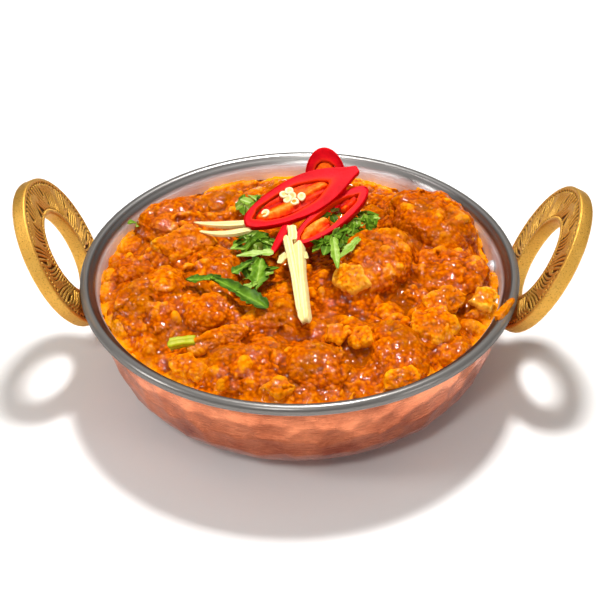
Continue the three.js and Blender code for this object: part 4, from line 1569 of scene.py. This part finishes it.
# %% Chopped leaves over a heap
def scatter_tree():
    tree, start = geometry_tree("chopped_leaves", {
        "Spacing": 2.0, "Tilt": 0.6, "Smallest": 0.75, "Largest": 1.2}, Bits="Collection", Seed="Int")
    spots = put(tree, "GeometryNodeDistributePointsOnFaces", {"distribute_method": "POISSON"},
                Mesh=start["Geometry"], Seed=start["Seed"], Density_Max=4e6,
                Distance_Min=maths(tree, "MULTIPLY", start["Spacing"], MM)).outputs
    bits = put(tree, "GeometryNodeCollectionInfo", {"transform_space": "ORIGINAL"}, Collection=start["Bits"],
               Separate_Children=True, Reset_Children=True)
    spin = put(tree, "FunctionNodeRandomValue", {"data_type": "FLOAT_VECTOR"}, Seed=start["Seed"],
               no_0=(-1, -1, 0), no_1=(1, 1, 1))
    tilt = put(tree, "ShaderNodeCombineXYZ", X=start["Tilt"], Y=start["Tilt"], Z=FULL_TURN)
    turn = put(tree, "ShaderNodeVectorMath", {"operation": "MULTIPLY"}, no_0=spin.outputs[0],
               no_1=tilt.outputs[0])
    both = put(tree, "FunctionNodeRotateRotation", {"rotation_space": "LOCAL"}, no_0=spots["Rotation"],
               no_1=turn.outputs[0])
    size = put(tree, "FunctionNodeRandomValue", {"data_type": "FLOAT"}, Seed=start["Seed"],
               no_2=start["Smallest"], no_3=start["Largest"])
    placed = put(tree, "GeometryNodeInstanceOnPoints", Points=spots["Points"], Instance=bits.outputs[0],
                 Pick_Instance=True, Rotation=both.outputs[0], Scale=size.outputs[1])
    real = put(tree, "GeometryNodeRealizeInstances", Geometry=placed.outputs[0])
    return end_tree(tree, real.outputs[0], start["Material"])


def leaf_bits():
    """Pieces of chopped leaf, kept out of the scene and used only by the scatter."""
    bits = bpy.data.collections.new("leaf_bits")
    shapes = ((5.4, 4.2, 5, 0.2, 3, 0.15), (5.0, 3.6, 4, 0.35, 5, 0.4), (6.6, 3.0, 4, 0.3, 7, 0.25),
              (4.4, 4.0, 6, 0.2, 9, 0.6), (5.8, 3.4, 3, 0.3, 10, 0.05))
    for k, shape in enumerate(shapes):
        points, faces, veins = flake(*shape)
        made = mesh_object(f"leaf_bit_{k}", points, faces, smooth=False, vein=veins)
        scene.collection.objects.unlink(made)
        bits.objects.link(made)
    return bits


bits, scatter = leaf_bits(), scatter_tree()


HEAPS = {                        # spacing of the bits, and how much smaller than its solid a heap is
    "coriander_heap_back": (1.9, (0.8, 0.8, 0.75)),
    "coriander_heap_left": (1.8, (0.85, 0.85, 0.8)),
    "coriander_heap_front": (1.9, (0.75, 0.75, 0.6)),
    "coriander_heap_right": (1.8, (0.95, 0.95, 0.9)),
}


def chopped_heap(node, seed, spacing, shrink):
    """Bits over the sides and the top of a heap."""
    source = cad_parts[node]
    points = points_of(source)
    middle = (points.max(0) + points.min(0)) / 2
    shrunk = middle + (points - middle) * shrink
    faces = [list(f.vertices) for f in source.data.polygons if f.normal.z > 0.05]
    made = mesh_object(node + "_chopped", shrunk, faces)
    run_tree(made, scatter, False, Bits=bits, Spacing=spacing, Seed=seed, Material=coriander_leaf)
    return settle(made, "coriander", node)


for seed, (node, settings) in enumerate(HEAPS.items(), 2):
    chopped_heap(node, seed, *settings)
placed_flakes("coriander_bits_in_lower_slice", [
    ((8.0, 19.0, 50.6), (15, -10, 20), (5.4, 4.0, 5, 0.2, 31, 0.3)),
    ((11.6, 22.6, 51.4), (-15, 10, 70), (5.0, 3.8, 4, 0.2, 32, 0.55)),
    ((11.2, 18.6, 50.4), (10, 20, 120), (4.6, 3.6, 5, 0.2, 33, 0.1)),
    ((14.0, 21.0, 50.8), (0, -20, 160), (4.6, 3.2, 4, 0.2, 34, 0.4)),
], "coriander", coriander_leaf, "vein")
placed_flakes("coriander_bits_left_edge", [
    ((-61.0, 26.2, 42.6), (0, 0, 30), (3.6, 2.8, 5, 0.3, 21, 0.3)),
    ((-58.8, 24.4, 42.8), (10, 10, 80), (2.6, 2.0, 4, 0.3, 22, 0.5)),
], "coriander", coriander_leaf, "vein")


# %% Green stem
stem_flesh = ramp_finish("spring_onion_stem", "high", ("#8e9208", "#aaaa10", "#c2bc34"), 0.4, 300.0,
                         0.0002, 0.2, (0.8, 1.0, 0.3))
matchstick("green_stem", (1, 0, 0), 1.0, 0.3, 7, "stem", stem_flesh, 0.15)


# %% [markdown]
# ## Drops of sauce on the wall
#
# A few round drops hang on the left wall above the sauce, where it was stirred. Each is a ball of the
# sauce, a little flattened against the steel.

# %% Drops
DROPS = (                        # middle and radius of each
    (-65.8, 11.1, 35.4, 3.3), (-67.0, -3.2, 36.6, 1.8), (-65.8, -11.1, 35.4, 3.3),
    (-62.6, -19.4, 36.6, 1.9), (-57.0, -28.6, 37.4, 1.9),
)


def wall_drops():
    ball, ball_faces, _ = divided_sphere(12)
    points, faces = [], []
    for x, y, z, radius in DROPS:
        faces += [[len(points) * len(ball) + v for v in f] for f in ball_faces]
        inward = np.array([x, y, 0]) / math.hypot(x, y)
        flat = ball - 0.25 * (ball @ inward)[:, None] * inward
        points.append(flat * radius + [x, y, z])
    made = mesh_object("masala_drops_on_wall", np.concatenate(points), faces)
    return settle(store_heights_for_painted_shade(outward(made)), "sauce", material=finishes["sauce"])


wall_drops()


# %% Sizes and finish
visual_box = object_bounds()
sizes = {"frame": [[float(v) for v in corner] for corner in frame_box],
         "visual": [[float(v) for v in corner] for corner in visual_box]}
for name, box in sizes.items():
    print(name, "box in mm:", (np.array(box) / MM).round(1).tolist())
